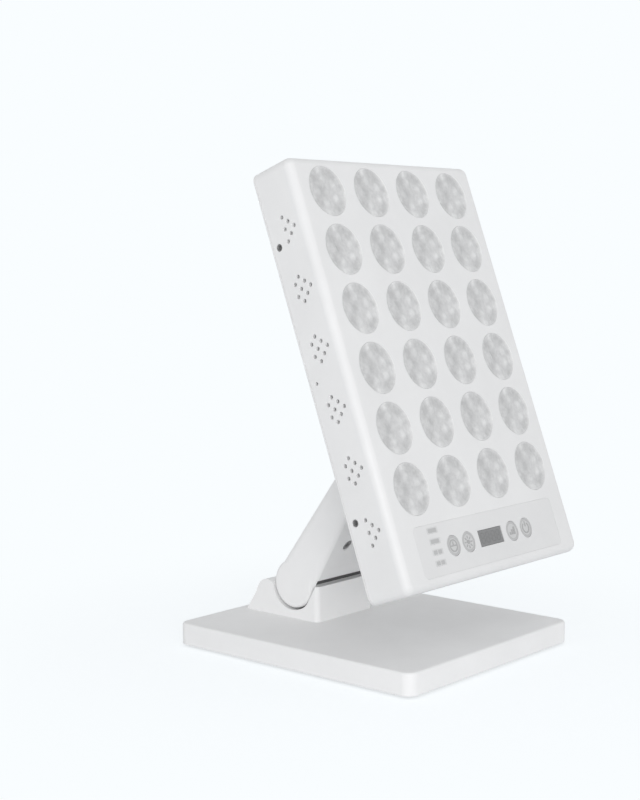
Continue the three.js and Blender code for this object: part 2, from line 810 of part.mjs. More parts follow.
// One lens with its rim's front at the origin: a round plate under a lobed crown.
function makeLens() {
  const radius = lensHoleRadius - fitGap;
  const crown = radius - lensRimWidth;
  const lobes = numbered(2 * lensLobes).map((i) => {
    const angle = (i * Math.PI) / lensLobes;
    const reach = crown - (i % 2) * lensLobeDepth;
    return point(reach * Math.cos(angle), reach * Math.sin(angle));
  });
  const plate = cylinder("y", 0, 0, radius, 0, lensThickness, lensSides);
  return plate.add(extrude(lobes, "y", -lensCrown, weld));
}

function makeLedBoard() {
  const half = boardHalfWidth;
  const plate = block(-half, half, boardDepth, boardDepth + boardThickness, boardBottom, boardTop);
  const emitters = lensPlaces().map(({ x, z }) =>
    cylinder("y", x, z, emitterRadius, boardDepth - emitterHeight, boardDepth + weld, emitterSides),
  );
  return joined([plate, ...emitters]);
}

function makeHeatSink() {
  const back = sinkFront + sinkPlate;
  const plate = block(-boardHalfWidth, boardHalfWidth, sinkFront, back, boardBottom, boardTop);
  const reach = boardHalfWidth - sinkMargin;
  const fins = numbered(sinkFins).map((i) => {
    const x = reach * ((2 * i) / (sinkFins - 1) - 1);
    const half = sinkFinThickness / 2;
    return block(x - half, x + half, back - weld, back + sinkFinHeight, boardBottom, boardTop);
  });
  return joined([plate, ...fins]);
}

function makePowerSupply() {
  const front = housingDepth - supplyDepth;
  const right = supplyX + supplyLength / 2;
  const bottom = supplyTop - supplyHeight;
  const box = block(supplyX - supplyLength / 2, right, front, housingDepth, bottom, supplyTop);
  const step = block(right - supplyTerminal, right + overrun, front - overrun, front + supplyStep,
    bottom - overrun, supplyTop + overrun);
  return box.subtract(step);
}

// The fan's frame and rotor are drawn round the fan's own middle, from its front at y = 0.
function makeFanFrame() {
  const bore = fanSize / 2 - fanWall;
  const outline = roundedRectangle(0, 0, fanSize, fanSize, fanCornerRadius, cornerSteps);
  const hole = circle(0, 0, bore, 2 * pinSides).reverse();
  const frame = extrude(outline, "y", 0, fanDepth, [hole]);
  const plateFront = fanDepth - fanMotorPlate;
  const plate = cylinder("y", 0, 0, fanHubRadius, plateFront, fanDepth);
  const reach = bore + weld;
  const strut = block(-reach, reach, plateFront, fanDepth, -fanStrutWidth / 2, fanStrutWidth / 2);
  const struts = numbered(fanStruts / 2).map((i) =>
    strut.rotate([0, (fullTurn / fanStruts) * ((2 * i + 1) / 2), 0]),
  );
  const shaftBore = cylinder("y", 0, 0, fanShaftRadius + fitGap, plateFront - overrun, fanDepth + overrun);
  return joined([frame, plate, ...struts]).subtract(shaftBore);
}

function makeFanRotor() {
  const back = fanDepth - fanMotorPlate - fanHubFloat;
  const hub = cylinder("y", 0, 0, fanHubRadius, fanHubFloat, back, 2 * pinSides);
  const shaft = cylinder("y", 0, 0, fanShaftRadius, back - weld, back + fanHubFloat + fanShaftReach);
  const tip = fanSize / 2 - fanWall - fanTipGap;
  const middle = (fanHubFloat + back) / 2;
  const half = fanBladeThickness / 2;
  const flat = block(fanHubRadius - 2 * weld, tip, -half, half, -fanBladeChord / 2, fanBladeChord / 2);
  const blade = flat.rotate([fanBladePitch / degrees, 0, 0]).translate([0, middle, 0]);
  const blades = numbered(fanBlades).map((i) => blade.rotate([0, (fullTurn / fanBlades) * i, 0]));
  return joined([hub, shaft, ...blades]);
}

// Control strip

function keyPlaces() {
  const names = ["key_timer", "key_mode", "key_level", "key_power"];
  return names.map((name, i) => {
    const side = i < 2 ? -1 : 1;
    const step = i < 2 ? 1 - i : i - 2;
    return { name, x: side * (keyOffset + step * keyPitch) };
  });
}

// Outline of the control strip round a middle point, grown on all sides by the given gap.
function controlOutline(x, z, gap = 0) {
  const width = controlWidth + 2 * gap;
  return roundedRectangle(x, z, width, controlHeight + 2 * gap, controlCornerRadius + gap, cornerSteps);
}

function markHeights() {
  return numbered(markCount).map((i) => markRise + (i - (markCount - 1) / 2) * markPitch);
}

function makeControlPlate() {
  const keyHoles = keyPlaces().map(({ x }) => circle(x, 0, keyRadius + fitGap, keySides).reverse());
  const displayX = displayWidth / 2 + fitGap;
  const displayZ = displayHeight / 2 + fitGap;
  const displayHole = rectangle(-displayX, -displayZ, displayX, displayZ).reverse();
  const markHoles = markHeights().map((z) => {
    const high = markHeight / 2;
    return rectangle(markX - markWidth / 2, z - high, markX + markWidth / 2, z + high).reverse();
  });
  const holes = [...keyHoles, displayHole, ...markHoles];
  const plate = extrude(controlOutline(0, 0), "y", 0, controlThickness, holes);
  const cornerX = controlWidth / 2 - controlPostInset;
  const cornerZ = controlHeight / 2 - controlPostInset;
  const posts = bothSides.flatMap((x) =>
    bothSides.map((z) =>
      cylinder("y", x * cornerX, z * cornerZ, controlPostRadius, controlThickness - weld,
        controlBoardFront - fitGap, postSides),
    ),
  );
  return joined([plate, ...posts]);
}

// The control board carries a switch behind each key and the light guides that fill the four marks.
function makeControlBoard() {
  const inset = controlPostInset - controlPostRadius;
  const halfWidth = controlWidth / 2 - inset;
  const halfHeight = controlHeight / 2 - inset;
  const board = block(-halfWidth, halfWidth, controlBoardFront, controlBoardFront + controlBoardThickness,
    -halfHeight, halfHeight);
  const keyBack = controlThickness + fitGap + keyLipThickness;
  const switchFront = keyBack + keyTravel + fitGap;
  const half = keySwitchSize / 2;
  const switches = keyPlaces().map(({ x }) =>
    block(x - half, x + half, switchFront, controlBoardFront + weld, -half, half),
  );
  const guideWidth = markWidth / 2 - fitGap;
  const guideHeight = markHeight / 2 - fitGap;
  const guides = markHeights().map((z) =>
    block(markX - guideWidth, markX + guideWidth, fitGap, controlBoardFront + weld,
      z - guideHeight, z + guideHeight),
  );
  return joined([board, ...switches, ...guides]);
}

function makeKey() {
  const lip = cylinder("y", 0, 0, keyRadius + keyLip, controlThickness + fitGap,
    controlThickness + fitGap + keyLipThickness, keySides);
  return lip.add(cylinder("y", 0, 0, keyRadius, keyRecess, controlThickness + fitGap + weld, keySides));
}

function makeDisplay() {
  return block(-displayWidth / 2, displayWidth / 2, displayRecess, controlBoardFront - fitGap,
    -displayHeight / 2, displayHeight / 2);
}

// Rear of the lamp head

function makeRearCover() {
  const front = housingDepth + fitGap;
  const from = front - overrun;
  const to = panelDepth + overrun;
  const plate = extrude(panelPlan(0, panelCornerRadius), "y", front, panelDepth);
  const window = (x, z, width, height) =>
    block(x - width / 2, x + width / 2, from, to, z - height / 2, z + height / 2);
  const reach = fanSize / 2 - fanWall - grilleMargin;
  const pitch = (2 * reach) / grilleSlots;
  const grille = numbered(grilleSlots).map((i) => {
    const x = (i - (grilleSlots - 1) / 2) * pitch;
    const half = Math.sqrt(reach ** 2 - (Math.abs(x) + grilleSlotWidth / 2) ** 2);
    return window(x, fanHeight, grilleSlotWidth, 2 * half);
  });
  const supplyVents = numbered(supplySlots).map((i) => {
    const x = supplyX + (i - (supplySlots - 1) / 2) * supplySlotPitch;
    return window(x, supplyTop - supplyHeight / 2, supplySlotWidth, supplySlotLength);
  });
  const fittings = [
    window(inletX, rearFittingZ, inletWidth + 2 * fitGap, inletHeight + 2 * fitGap),
    window(rockerX, rearFittingZ, rockerFrameWidth + 2 * fitGap, rockerFrameHeight + 2 * fitGap),
  ];
  const screws = postPlaces().map(({ x, z }) => cylinder("y", x, z, postBoreRadius, from, to, screwSides));
  const bracket = bracketHoles(hingeHeight - panelHeight / 2, from, to);
  return cutBy(plate, [...grille, ...supplyVents, ...fittings, ...screws, ...bracket]);
}

// The inlet is drawn round its own middle, with the rear cover's outer face at y = 0.
function makePowerInlet() {
  const half = inletWidth / 2;
  const high = inletHeight / 2;
  const flangeFront = fitGap;
  const mouth = flangeFront + inletFlangeThickness;
  const body = block(-half, half, mouth - inletDepth, mouth, -high, high);
  const flangeX = half + inletFlange;
  const flangeZ = high + inletFlange;
  const flange = block(-flangeX, flangeX, flangeFront, mouth, -flangeZ, flangeZ);
  const floor = mouth - inletDepth + inletFloor;
  const roomX = half - inletWall;
  const roomZ = high - inletWall;
  const cavity = block(-roomX, roomX, floor, mouth + overrun, -roomZ, roomZ);
  const pins = threeAcross.map((i) => {
    const x = i * inletPinPitch;
    const z = i === 0 ? inletPinRise : -inletPinDrop;
    return block(x - inletPinWidth / 2, x + inletPinWidth / 2, floor - weld, floor + inletPinLength,
      z - inletPinHeight / 2, z + inletPinHeight / 2);
  });
  return joined([body.add(flange).subtract(cavity), ...pins]);
}

// The rocker's pivot is level with the rear cover's outer face.
function makeRockerFrame() {
  const half = rockerFrameWidth / 2;
  const high = rockerFrameHeight / 2;
  const mouth = fitGap + rockerFlangeThickness;
  const body = block(-half, half, mouth - rockerDepth, mouth, -high, high);
  const flangeX = half + rockerFlange;
  const flangeZ = high + rockerFlange;
  const flange = block(-flangeX, flangeX, fitGap, mouth, -flangeZ, flangeZ);
  const roomX = half - rockerFrameWall;
  const roomZ = high - rockerFrameWall;
  const floor = mouth - rockerDepth + rockerFloor;
  const cavity = block(-roomX, roomX, floor, mouth + overrun, -roomZ, roomZ);
  const reach = roomX + rockerPivotLength;
  const pivotRadius = rockerPivotRadius + fitGap;
  const pivot = cylinder("x", -pivotRadius, 0, pivotRadius, -reach, reach, rockerPivotSides);
  return cutBy(body.add(flange), [cavity, pivot]);
}

function makeRocker() {
  const half = rockerFrameWidth / 2 - rockerFrameWall - fitGap;
  const high = rockerFrameHeight / 2 - rockerFrameWall - rockerSwing;
  const side = [
    point(rockerProud, -high),
    point(rockerProud - rockerDish, 0),
    point(rockerProud, high),
    point(0, high),
    point(-rockerKeel, high * rockerKeelShare),
    point(-rockerKeel, -high * rockerKeelShare),
    point(0, -high),
  ];
  const reach = half + rockerPivotLength;
  const pivots = cylinder("x", 0, 0, rockerPivotRadius, -reach, reach, rockerPivotSides);
  return extrude(side, "x", -half, half).add(pivots);
}

// Assembly

const device = new THREE.Group();

place(device, "base_cover", makeBaseCover(), "shell");
place(device, "base_weight", makeBaseWeight(), "steel");
const rubberFoot = makeRubberFoot();
for (const { name, x, y } of rubberPlaces()) {
  place(device, "rubber_foot_" + name, rubberFoot, "rubber", x, y);
}

const stand = new THREE.Group();
stand.position.set(0, hingeY, hingeZ);
device.add(stand);
place(stand, "hinge_foot", makeHingeFoot(), "shell");
place(stand, "lean_pin", makeLeanPin(), "steel");
const leanWasher = makeWasher(leanPinRadius + fitGap);
place(stand, "lean_washer_left", leanWasher, "steel", -lugHalf - fitGap - washerThickness);
place(stand, "lean_washer_right", leanWasher, "steel", lugHalf + fitGap);

const arm = new THREE.Group();
arm.rotation.x = armLean;
stand.add(arm);
place(arm, "arm_shell", makeArmShell(), "shell");
place(arm, "arm_cover", makeArmCover(), "shell");
const armScrew = makeArmScrew();
for (const { side, x } of armScrewPlaces()) {
  const name = "arm_cover_screw_" + (side < 0 ? "left" : "right");
  place(arm, name, armScrew, "steel", x, armScrewSeat(), armScrewHeight);
}

const head = new THREE.Group();
head.position.z = armLength;
head.rotation.x = -armLean - panelLean;
arm.add(head);
const tiltWasher = makeWasher(tiltPinRadius + fitGap);
place(head, "tilt_bolt", makeTiltBolt(), "steel");
place(head, "tilt_nut", makeTiltNut(), "steel");
place(head, "tilt_washer_left", tiltWasher, "steel", -armWidth / 2 - fitGap - washerThickness);
place(head, "tilt_washer_right", tiltWasher, "steel", armWidth / 2 + fitGap);
place(head, "tilt_bracket", makeTiltBracket(), "sheet");

const lamp = new THREE.Group();
lamp.position.set(0, -hingeStandoff - panelDepth, panelHeight / 2 - hingeHeight);
head.add(lamp);
place(lamp, "front_housing", makeFrontHousing(), "shell");
const lens = makeLens();
for (const { name, x, z } of lensPlaces()) {
  place(lamp, name, lens, "lens", x, lensRecess, z);
}
place(lamp, "led_board", makeLedBoard(), "board");
place(lamp, "heat_sink", makeHeatSink(), "aluminium");
place(lamp, "power_supply", makePowerSupply(), "sheet");
place(lamp, "fan_frame", makeFanFrame(), "dark", 0, housingDepth - fanDepth, fanHeight);
place(lamp, "fan_rotor", makeFanRotor(), "dark", 0, housingDepth - fanDepth, fanHeight);
place(lamp, "rear_cover", makeRearCover(), "sheet");
place(lamp, "control_plate", makeControlPlate(), "strip", 0, 0, controlZ);
place(lamp, "control_board", makeControlBoard(), "circuit", 0, 0, controlZ);
place(lamp, "display", makeDisplay(), "display", 0, 0, controlZ);
const key = makeKey();
for (const { name, x } of keyPlaces()) {
  place(lamp, name, key, "key", x, 0, controlZ);
}
place(lamp, "power_inlet", makePowerInlet(), "dark", inletX, panelDepth, rearFittingZ);
place(lamp, "rocker_frame", makeRockerFrame(), "dark", rockerX, panelDepth, rearFittingZ);
const rockerPivotY = panelDepth - rockerPivotRadius - fitGap;
const rocker = place(lamp, "rocker", makeRocker(), "dark", rockerX, rockerPivotY, rearFittingZ);
rocker.rotation.x = rockerTilt;

export default device;
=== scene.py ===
import logging
from contextlib import contextmanager
from dataclasses import dataclass, field
from enum import Enum
from math import acos, asin, cos, exp, hypot, pi, radians, sin, sqrt, tan
from typing import Callable, Iterable, Iterator, Optional, Sequence

import bmesh
import bpy
from mathutils import Matrix, Vector


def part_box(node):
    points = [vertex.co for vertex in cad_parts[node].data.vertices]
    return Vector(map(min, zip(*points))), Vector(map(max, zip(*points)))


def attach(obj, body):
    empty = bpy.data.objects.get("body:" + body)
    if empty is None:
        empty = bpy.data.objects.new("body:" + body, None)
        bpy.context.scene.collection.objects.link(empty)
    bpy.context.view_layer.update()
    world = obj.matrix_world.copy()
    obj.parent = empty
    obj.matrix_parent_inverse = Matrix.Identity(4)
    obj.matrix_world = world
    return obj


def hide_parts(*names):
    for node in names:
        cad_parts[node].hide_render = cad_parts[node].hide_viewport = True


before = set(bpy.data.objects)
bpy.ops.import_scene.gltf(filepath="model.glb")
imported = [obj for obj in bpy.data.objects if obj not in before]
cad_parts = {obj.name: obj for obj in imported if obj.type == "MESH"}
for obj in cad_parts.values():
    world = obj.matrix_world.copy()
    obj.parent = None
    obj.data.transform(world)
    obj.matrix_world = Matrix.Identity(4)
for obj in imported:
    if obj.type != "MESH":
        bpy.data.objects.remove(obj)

# Looks of a red light therapy panel on a tilting stand. Sizes are in millimetres, as in the part's
# source, and each finished piece is put in the shared frame in metres.

LOG = logging.getLogger("panel")
MM = 0.001
FULL_TURN = 2 * pi
HALF_TURN = pi
QUARTER_TURN = pi / 2
BOTH_SIDES = (-1, 1)

# How far a cutter runs past the face it cuts, how deep a joined piece is sunk into its wall, how far
# a screw's head stands off its seat, and how near two points are that count as one.
OVERRUN = 4.0
WELD = 0.5
SCREW_LIFT = 0.02
SAME_POINT = 0.0005

Pair = tuple[float, float]
Outline = list[Pair]
Shares = tuple[float, ...]
Colour = tuple[float, float, float]
Thing = bpy.types.Object
Mesh = bpy.types.Mesh
Tree = bpy.types.NodeTree
Node = bpy.types.Node
Socket = bpy.types.NodeSocket


def grey(level: float, warm: float = 0.0) -> Colour:
    """Turns a screen grey into a linear colour.

    Args:
        level: The grey as it shows on a screen, from 0 to 255.
        warm: How much red stands above blue, in the same steps.

    Returns:
        The linear red, green and blue.
    """
    def linear(value: float) -> float:
        """One channel, from its screen value to its linear value."""
        share = value / 255
        return share / 12.92 if share <= 0.04045 else ((share + 0.055) / 1.055) ** 2.4
    return (linear(level + warm), linear(level), linear(level - warm))


# Outlines


def arc(a: float, b: float, radius: float, start: float, end: float, steps: int) -> Outline:
    """Points on a circle's arc, both ends included."""
    turns = [start + (end - start) * i / steps for i in range(steps + 1)]
    return [(a + radius * cos(t), b + radius * sin(t)) for t in turns]


def circle(a: float, b: float, radius: float, sides: int) -> Outline:
    """Points on a whole circle."""
    return arc(a, b, radius, 0, FULL_TURN, sides)[:-1]


def quarter(steps: int) -> list[float]:
    """The angles of a quarter turn, both ends included."""
    return [QUARTER_TURN * i / steps for i in range(steps + 1)]


def rounding(radius: float, steps: int) -> list[Pair]:
    """A rounded edge from its outermost face inwards: how far in along it, and how far to its side."""
    return [(radius * (1 - cos(t)), radius * (1 - sin(t))) for t in quarter(steps)]


def corners(a: float, b: float) -> list[Pair]:
    """The four corners of a rectangle round the origin, from its half sizes."""
    return [(x * a, y * b) for x in BOTH_SIDES for y in BOTH_SIDES]


def rectangle(a0: float, b0: float, a1: float, b1: float) -> Outline:
    """The four corners of a rectangle."""
    return [(a0, b0), (a1, b0), (a1, b1), (a0, b1)]


def rounded_rectangle(a: float, b: float, width: float, height: float, radius: float,
                      steps: int) -> Outline:
    """Outlines a rectangle with round corners.

    Args:
        a: The middle, across.
        b: The middle, up.
        width: The whole width.
        height: The whole height.
        radius: The radius of the corners.
        steps: How many straight pieces make one corner.

    Returns:
        The outline's points.
    """
    across, up = width / 2 - radius, height / 2 - radius
    middles = [(across, up), (-across, up), (-across, -up), (across, -up)]
    points: Outline = []
    for number, (x, y) in enumerate(middles):
        start = number * QUARTER_TURN
        points += arc(a + x, b + y, radius, start, start + QUARTER_TURN, steps)
    return points


def ring_sector(a: float, b: float, radius: float, width: float, start: float, end: float,
                steps: int) -> Outline:
    """Outline of a curved stroke of this width along an arc."""
    outer = arc(a, b, radius + width / 2, start, end, steps)
    inner = arc(a, b, radius - width / 2, start, end, steps)
    return outer + inner[::-1]


class Axis(Enum):
    """The axis an outline is drawn out along. The outline lies in the other two, in their order."""

    X = 0
    Y = 1
    Z = 2

    def point(self, a: float, b: float, at: float) -> Vector:
        """The point of an outline at a place along the axis."""
        values = [a, b]
        values.insert(self.value, at)
        return Vector(values)


class Join(Enum):
    """The ways in which two solids are put together."""

    UNION = "UNION"
    DIFFERENCE = "DIFFERENCE"
    INTERSECT = "INTERSECT"


def modified(mesh: Mesh, kind: str, inputs: Optional[dict] = None, **settings: object) -> Mesh:
    """Runs a modifier on a mesh and returns the result as a plain mesh.

    Args:
        mesh: The mesh to start from.
        kind: The modifier's type.
        inputs: The inputs of its node tree, by their identifiers.
        settings: Its properties.

    Returns:
        The new mesh.
    """
    holder = lent(mesh)
    modifier = holder.modifiers.new("step", kind)
    for name, value in settings.items():
        setattr(modifier, name, value)
    for identifier, value in (inputs or {}).items():
        modifier[identifier] = value
    bpy.context.view_layer.update()
    result = bpy.data.meshes.new_from_object(
        holder.evaluated_get(bpy.context.evaluated_depsgraph_get()))
    holder.modifiers.clear()
    bpy.data.objects.remove(holder)
    return result


def lent(mesh: Mesh) -> Thing:
    """An object in the scene that lends a mesh to a modifier or a tree."""
    holder = bpy.data.objects.new("lent", mesh)
    bpy.context.scene.collection.objects.link(holder)
    return holder


@contextmanager
def editing(mesh: Mesh) -> Iterator[bmesh.types.BMesh]:
    """Opens a mesh for editing and writes it back."""
    sheet = bmesh.new()
    sheet.from_mesh(mesh)
    yield sheet
    sheet.to_mesh(mesh)
    sheet.free()


def merge_flat(mesh: Mesh, distance: float, degrees: float) -> None:
    """Merges a mesh's doubles, and the triangles of its faces that bend less than these degrees."""
    with editing(mesh) as sheet:
        bmesh.ops.remove_doubles(sheet, verts=sheet.verts, dist=distance)
        bmesh.ops.dissolve_limit(sheet, angle_limit=radians(degrees), verts=sheet.verts,
                                 edges=sheet.edges)


class Solid:
    """A closed mesh in the making, in millimetres, in the frame of its sub-assembly."""

    def __init__(self, mesh: Mesh) -> None:
        """Keeps the mesh."""
        self.mesh = mesh

    @classmethod
    def of_faces(cls, points: Sequence[Vector], faces: Sequence[Sequence[int]]) -> "Solid":
        """A solid from its points and faces, with the faces turned outwards."""
        mesh = bpy.data.meshes.new("solid")
        mesh.from_pydata([tuple(p) for p in points], [], faces)
        with editing(mesh) as sheet:
            bmesh.ops.recalc_face_normals(sheet, faces=sheet.faces)
        return cls(mesh)

    @classmethod
    def loft(cls, axis: Axis, sections: Sequence[tuple[float, Outline]]) -> "Solid":
        """Skins a solid over outlines along an axis.

        Args:
            axis: The axis the outlines stand on.
            sections: Place along the axis and outline, in order. An outline of one point is a tip.

        Returns:
            The closed solid.
        """
        points: list[Vector] = []
        rings: list[list[int]] = []
        for at, outline in sections:
            rings.append(list(range(len(points), len(points) + len(outline))))
            points += [axis.point(a, b, at) for a, b in outline]
        faces: list[list[int]] = []
        for low, high in zip(rings, rings[1:]):
            for i in range(max(len(low), len(high))):
                quad = [low[i % len(low)], low[(i + 1) % len(low)],
                        high[(i + 1) % len(high)], high[i % len(high)]]
                faces.append(list(dict.fromkeys(quad)))
        faces += [ring for ring in (rings[0][::-1], rings[-1]) if len(ring) > 2]
        return cls.of_faces(points, faces)

    @classmethod
    def prism(cls, axis: Axis, outline: Outline, start: float, end: float) -> "Solid":
        """An outline drawn out along an axis."""
        return cls.loft(axis, [(start, outline), (end, outline)])

    @classmethod
    def block(cls, x0: float, x1: float, y0: float, y1: float, z0: float, z1: float) -> "Solid":
        """A straight block between its six sides."""
        return cls.prism(Axis.Z, rectangle(x0, y0, x1, y1), z0, z1)

    @classmethod
    def turned(cls, axis: Axis, a: float, b: float, profile: Sequence[Pair],
               sides: int = 48) -> "Solid":
        """Turns a profile round an axis.

        Args:
            axis: The axis to turn round.
            a: The axis's place across.
            b: The axis's place up.
            profile: Place along the axis and radius, from one end to the other.
            sides: How many faces go round.

        Returns:
            The closed solid.
        """
        return cls.loft(axis, [(at, circle(a, b, radius, sides) if radius > 0 else [(a, b)])
                               for at, radius in profile])

    @classmethod
    def cylinder(cls, axis: Axis, a: float, b: float, radius: float, start: float, end: float,
                 sides: int = 48, edge: float = 0.0) -> "Solid":
        """A round bar along an axis, with its two edges rounded where an edge radius is given."""
        if edge <= 0:
            return cls.turned(axis, a, b, [(start, radius), (end, radius)], sides)
        bends = rounding(edge, 4)
        profile = [(start + along, radius - inset) for along, inset in bends]
        profile += [(end - along, radius - inset) for along, inset in reversed(bends)]
        return cls.turned(axis, a, b, profile, sides)

    @classmethod
    def together(cls, solids: Iterable["Solid"]) -> "Solid":
        """Several solids that stand apart as one."""
        mesh = bpy.data.meshes.new("solid")
        with editing(mesh) as sheet:
            for solid in solids:
                sheet.from_mesh(solid.mesh)
        return cls(mesh)

    @classmethod
    def of_node(cls, node: str, place: Matrix) -> "Solid":
        """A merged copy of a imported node, brought back to the frame it was drawn in."""
        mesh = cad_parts[node].data.copy()
        mesh.transform((Matrix.Scale(MM, 4) @ place).inverted())
        merge_flat(mesh, 0.01, 1)
        mesh.materials.clear()
        return cls(mesh)

    def combined(self, other: "Solid", how: Join) -> "Solid":
        """This solid put together with another one."""
        guest = lent(other.mesh)
        result = modified(self.mesh, "BOOLEAN", solver="MANIFOLD", operation=how.value,
                          object=guest)
        bpy.data.objects.remove(guest)
        if not result.polygons:
            raise RuntimeError("two solids could not be combined")
        return Solid(result)

    def plus(self, *others: "Solid") -> "Solid":
        """This solid joined with others."""
        result = self
        for other in others:
            result = result.combined(other, Join.UNION)
        return result

    def minus(self, *others: "Solid") -> "Solid":
        """This solid with others cut out of it."""
        result = self
        for other in others:
            result = result.combined(other, Join.DIFFERENCE)
        return result

    def within(self, other: "Solid") -> "Solid":
        """The part of this solid that lies inside another one."""
        return self.combined(other, Join.INTERSECT)

    def flattened(self) -> "Solid":
        """This solid with the triangles of each flat face merged."""
        mesh = self.mesh.copy()
        merge_flat(mesh, SAME_POINT, 0.4)
        return Solid(mesh)

    def softened(self, width: float, segments: int = 3, sharper_than: float = 40) -> "Solid":
        """This solid with its sharper edges rounded."""
        return Solid(modified(self.mesh, "BEVEL", width=width, segments=segments,
                              limit_method="ANGLE", angle_limit=radians(sharper_than),
                              use_clamp_overlap=True))

    def moved(self, matrix: Matrix) -> "Solid":
        """A moved copy of this solid."""
        mesh = self.mesh.copy()
        mesh.transform(matrix)
        return Solid(mesh)


# Node trees


class NodeSheet:
    """A node tree in the making, with short ways to add its nodes, links and group sockets."""

    def __init__(self, tree: Tree) -> None:
        """Keeps the tree."""
        self.tree = tree

    def socket(self, name: str, kind: str, default: object = None, output: bool = False) -> None:
        """Adds a socket to the group's outside."""
        made = self.tree.interface.new_socket(
            name=name, in_out="OUTPUT" if output else "INPUT", socket_type="NodeSocket" + kind)
        if default is not None:
            made.default_value = default

    def node(self, kind: str, values: Optional[dict] = None, **settings: object) -> Node:
        """Adds a node.

        Args:
            kind: The node's type.
            values: Its inputs by name or number, each a value or a socket to link from.
            settings: Its properties.

        Returns:
            The new node.
        """
        made = self.tree.nodes.new(kind)
        for name, value in settings.items():
            setattr(made, name, value)
        for key, value in (values or {}).items():
            if isinstance(value, Socket):
                self.tree.links.new(value, made.inputs[key])
            else:
                made.inputs[key].default_value = value
        return made

    def sum(self, operation: str, *values: object, clamp: bool = False) -> Socket:
        """The result of a Math node on values or sockets."""
        return self.node("ShaderNodeMath", dict(enumerate(values)), operation=operation,
                         use_clamp=clamp).outputs[0]

    def ranged(self, value: Socket, start: float, end: float, low: float = 0.0,
               high: float = 1.0) -> Socket:
        """A value between start and end, brought to the range from low to high."""
        return self.node("ShaderNodeMapRange", {
            "Value": value, "From Min": start, "From Max": end, "To Min": low,
            "To Max": high}).outputs[0]

    def noise(self, vector: Socket, scale: object, detail: object, **values: float) -> Socket:
        """Soft noise on a vector."""
        inputs = {"Vector": vector, "Scale": scale, "Detail": detail, **values}
        return self.node("ShaderNodeTexNoise", inputs).outputs[0]

    def blend(self, share: object, first: object, second: object) -> Socket:
        """Two colours mixed, with more of the second one as the share grows."""
        return self.node("ShaderNodeMix", {0: share, 6: first, 7: second}, data_type="RGBA").outputs[2]

    def group(self, tree: Tree, vector: Socket, **values: float) -> bpy.types.bpy_prop_collection:
        """The outputs of a shader group that is placed on a vector."""
        return self.node("ShaderNodeGroup", {"Vector": vector, **values}, node_tree=tree).outputs


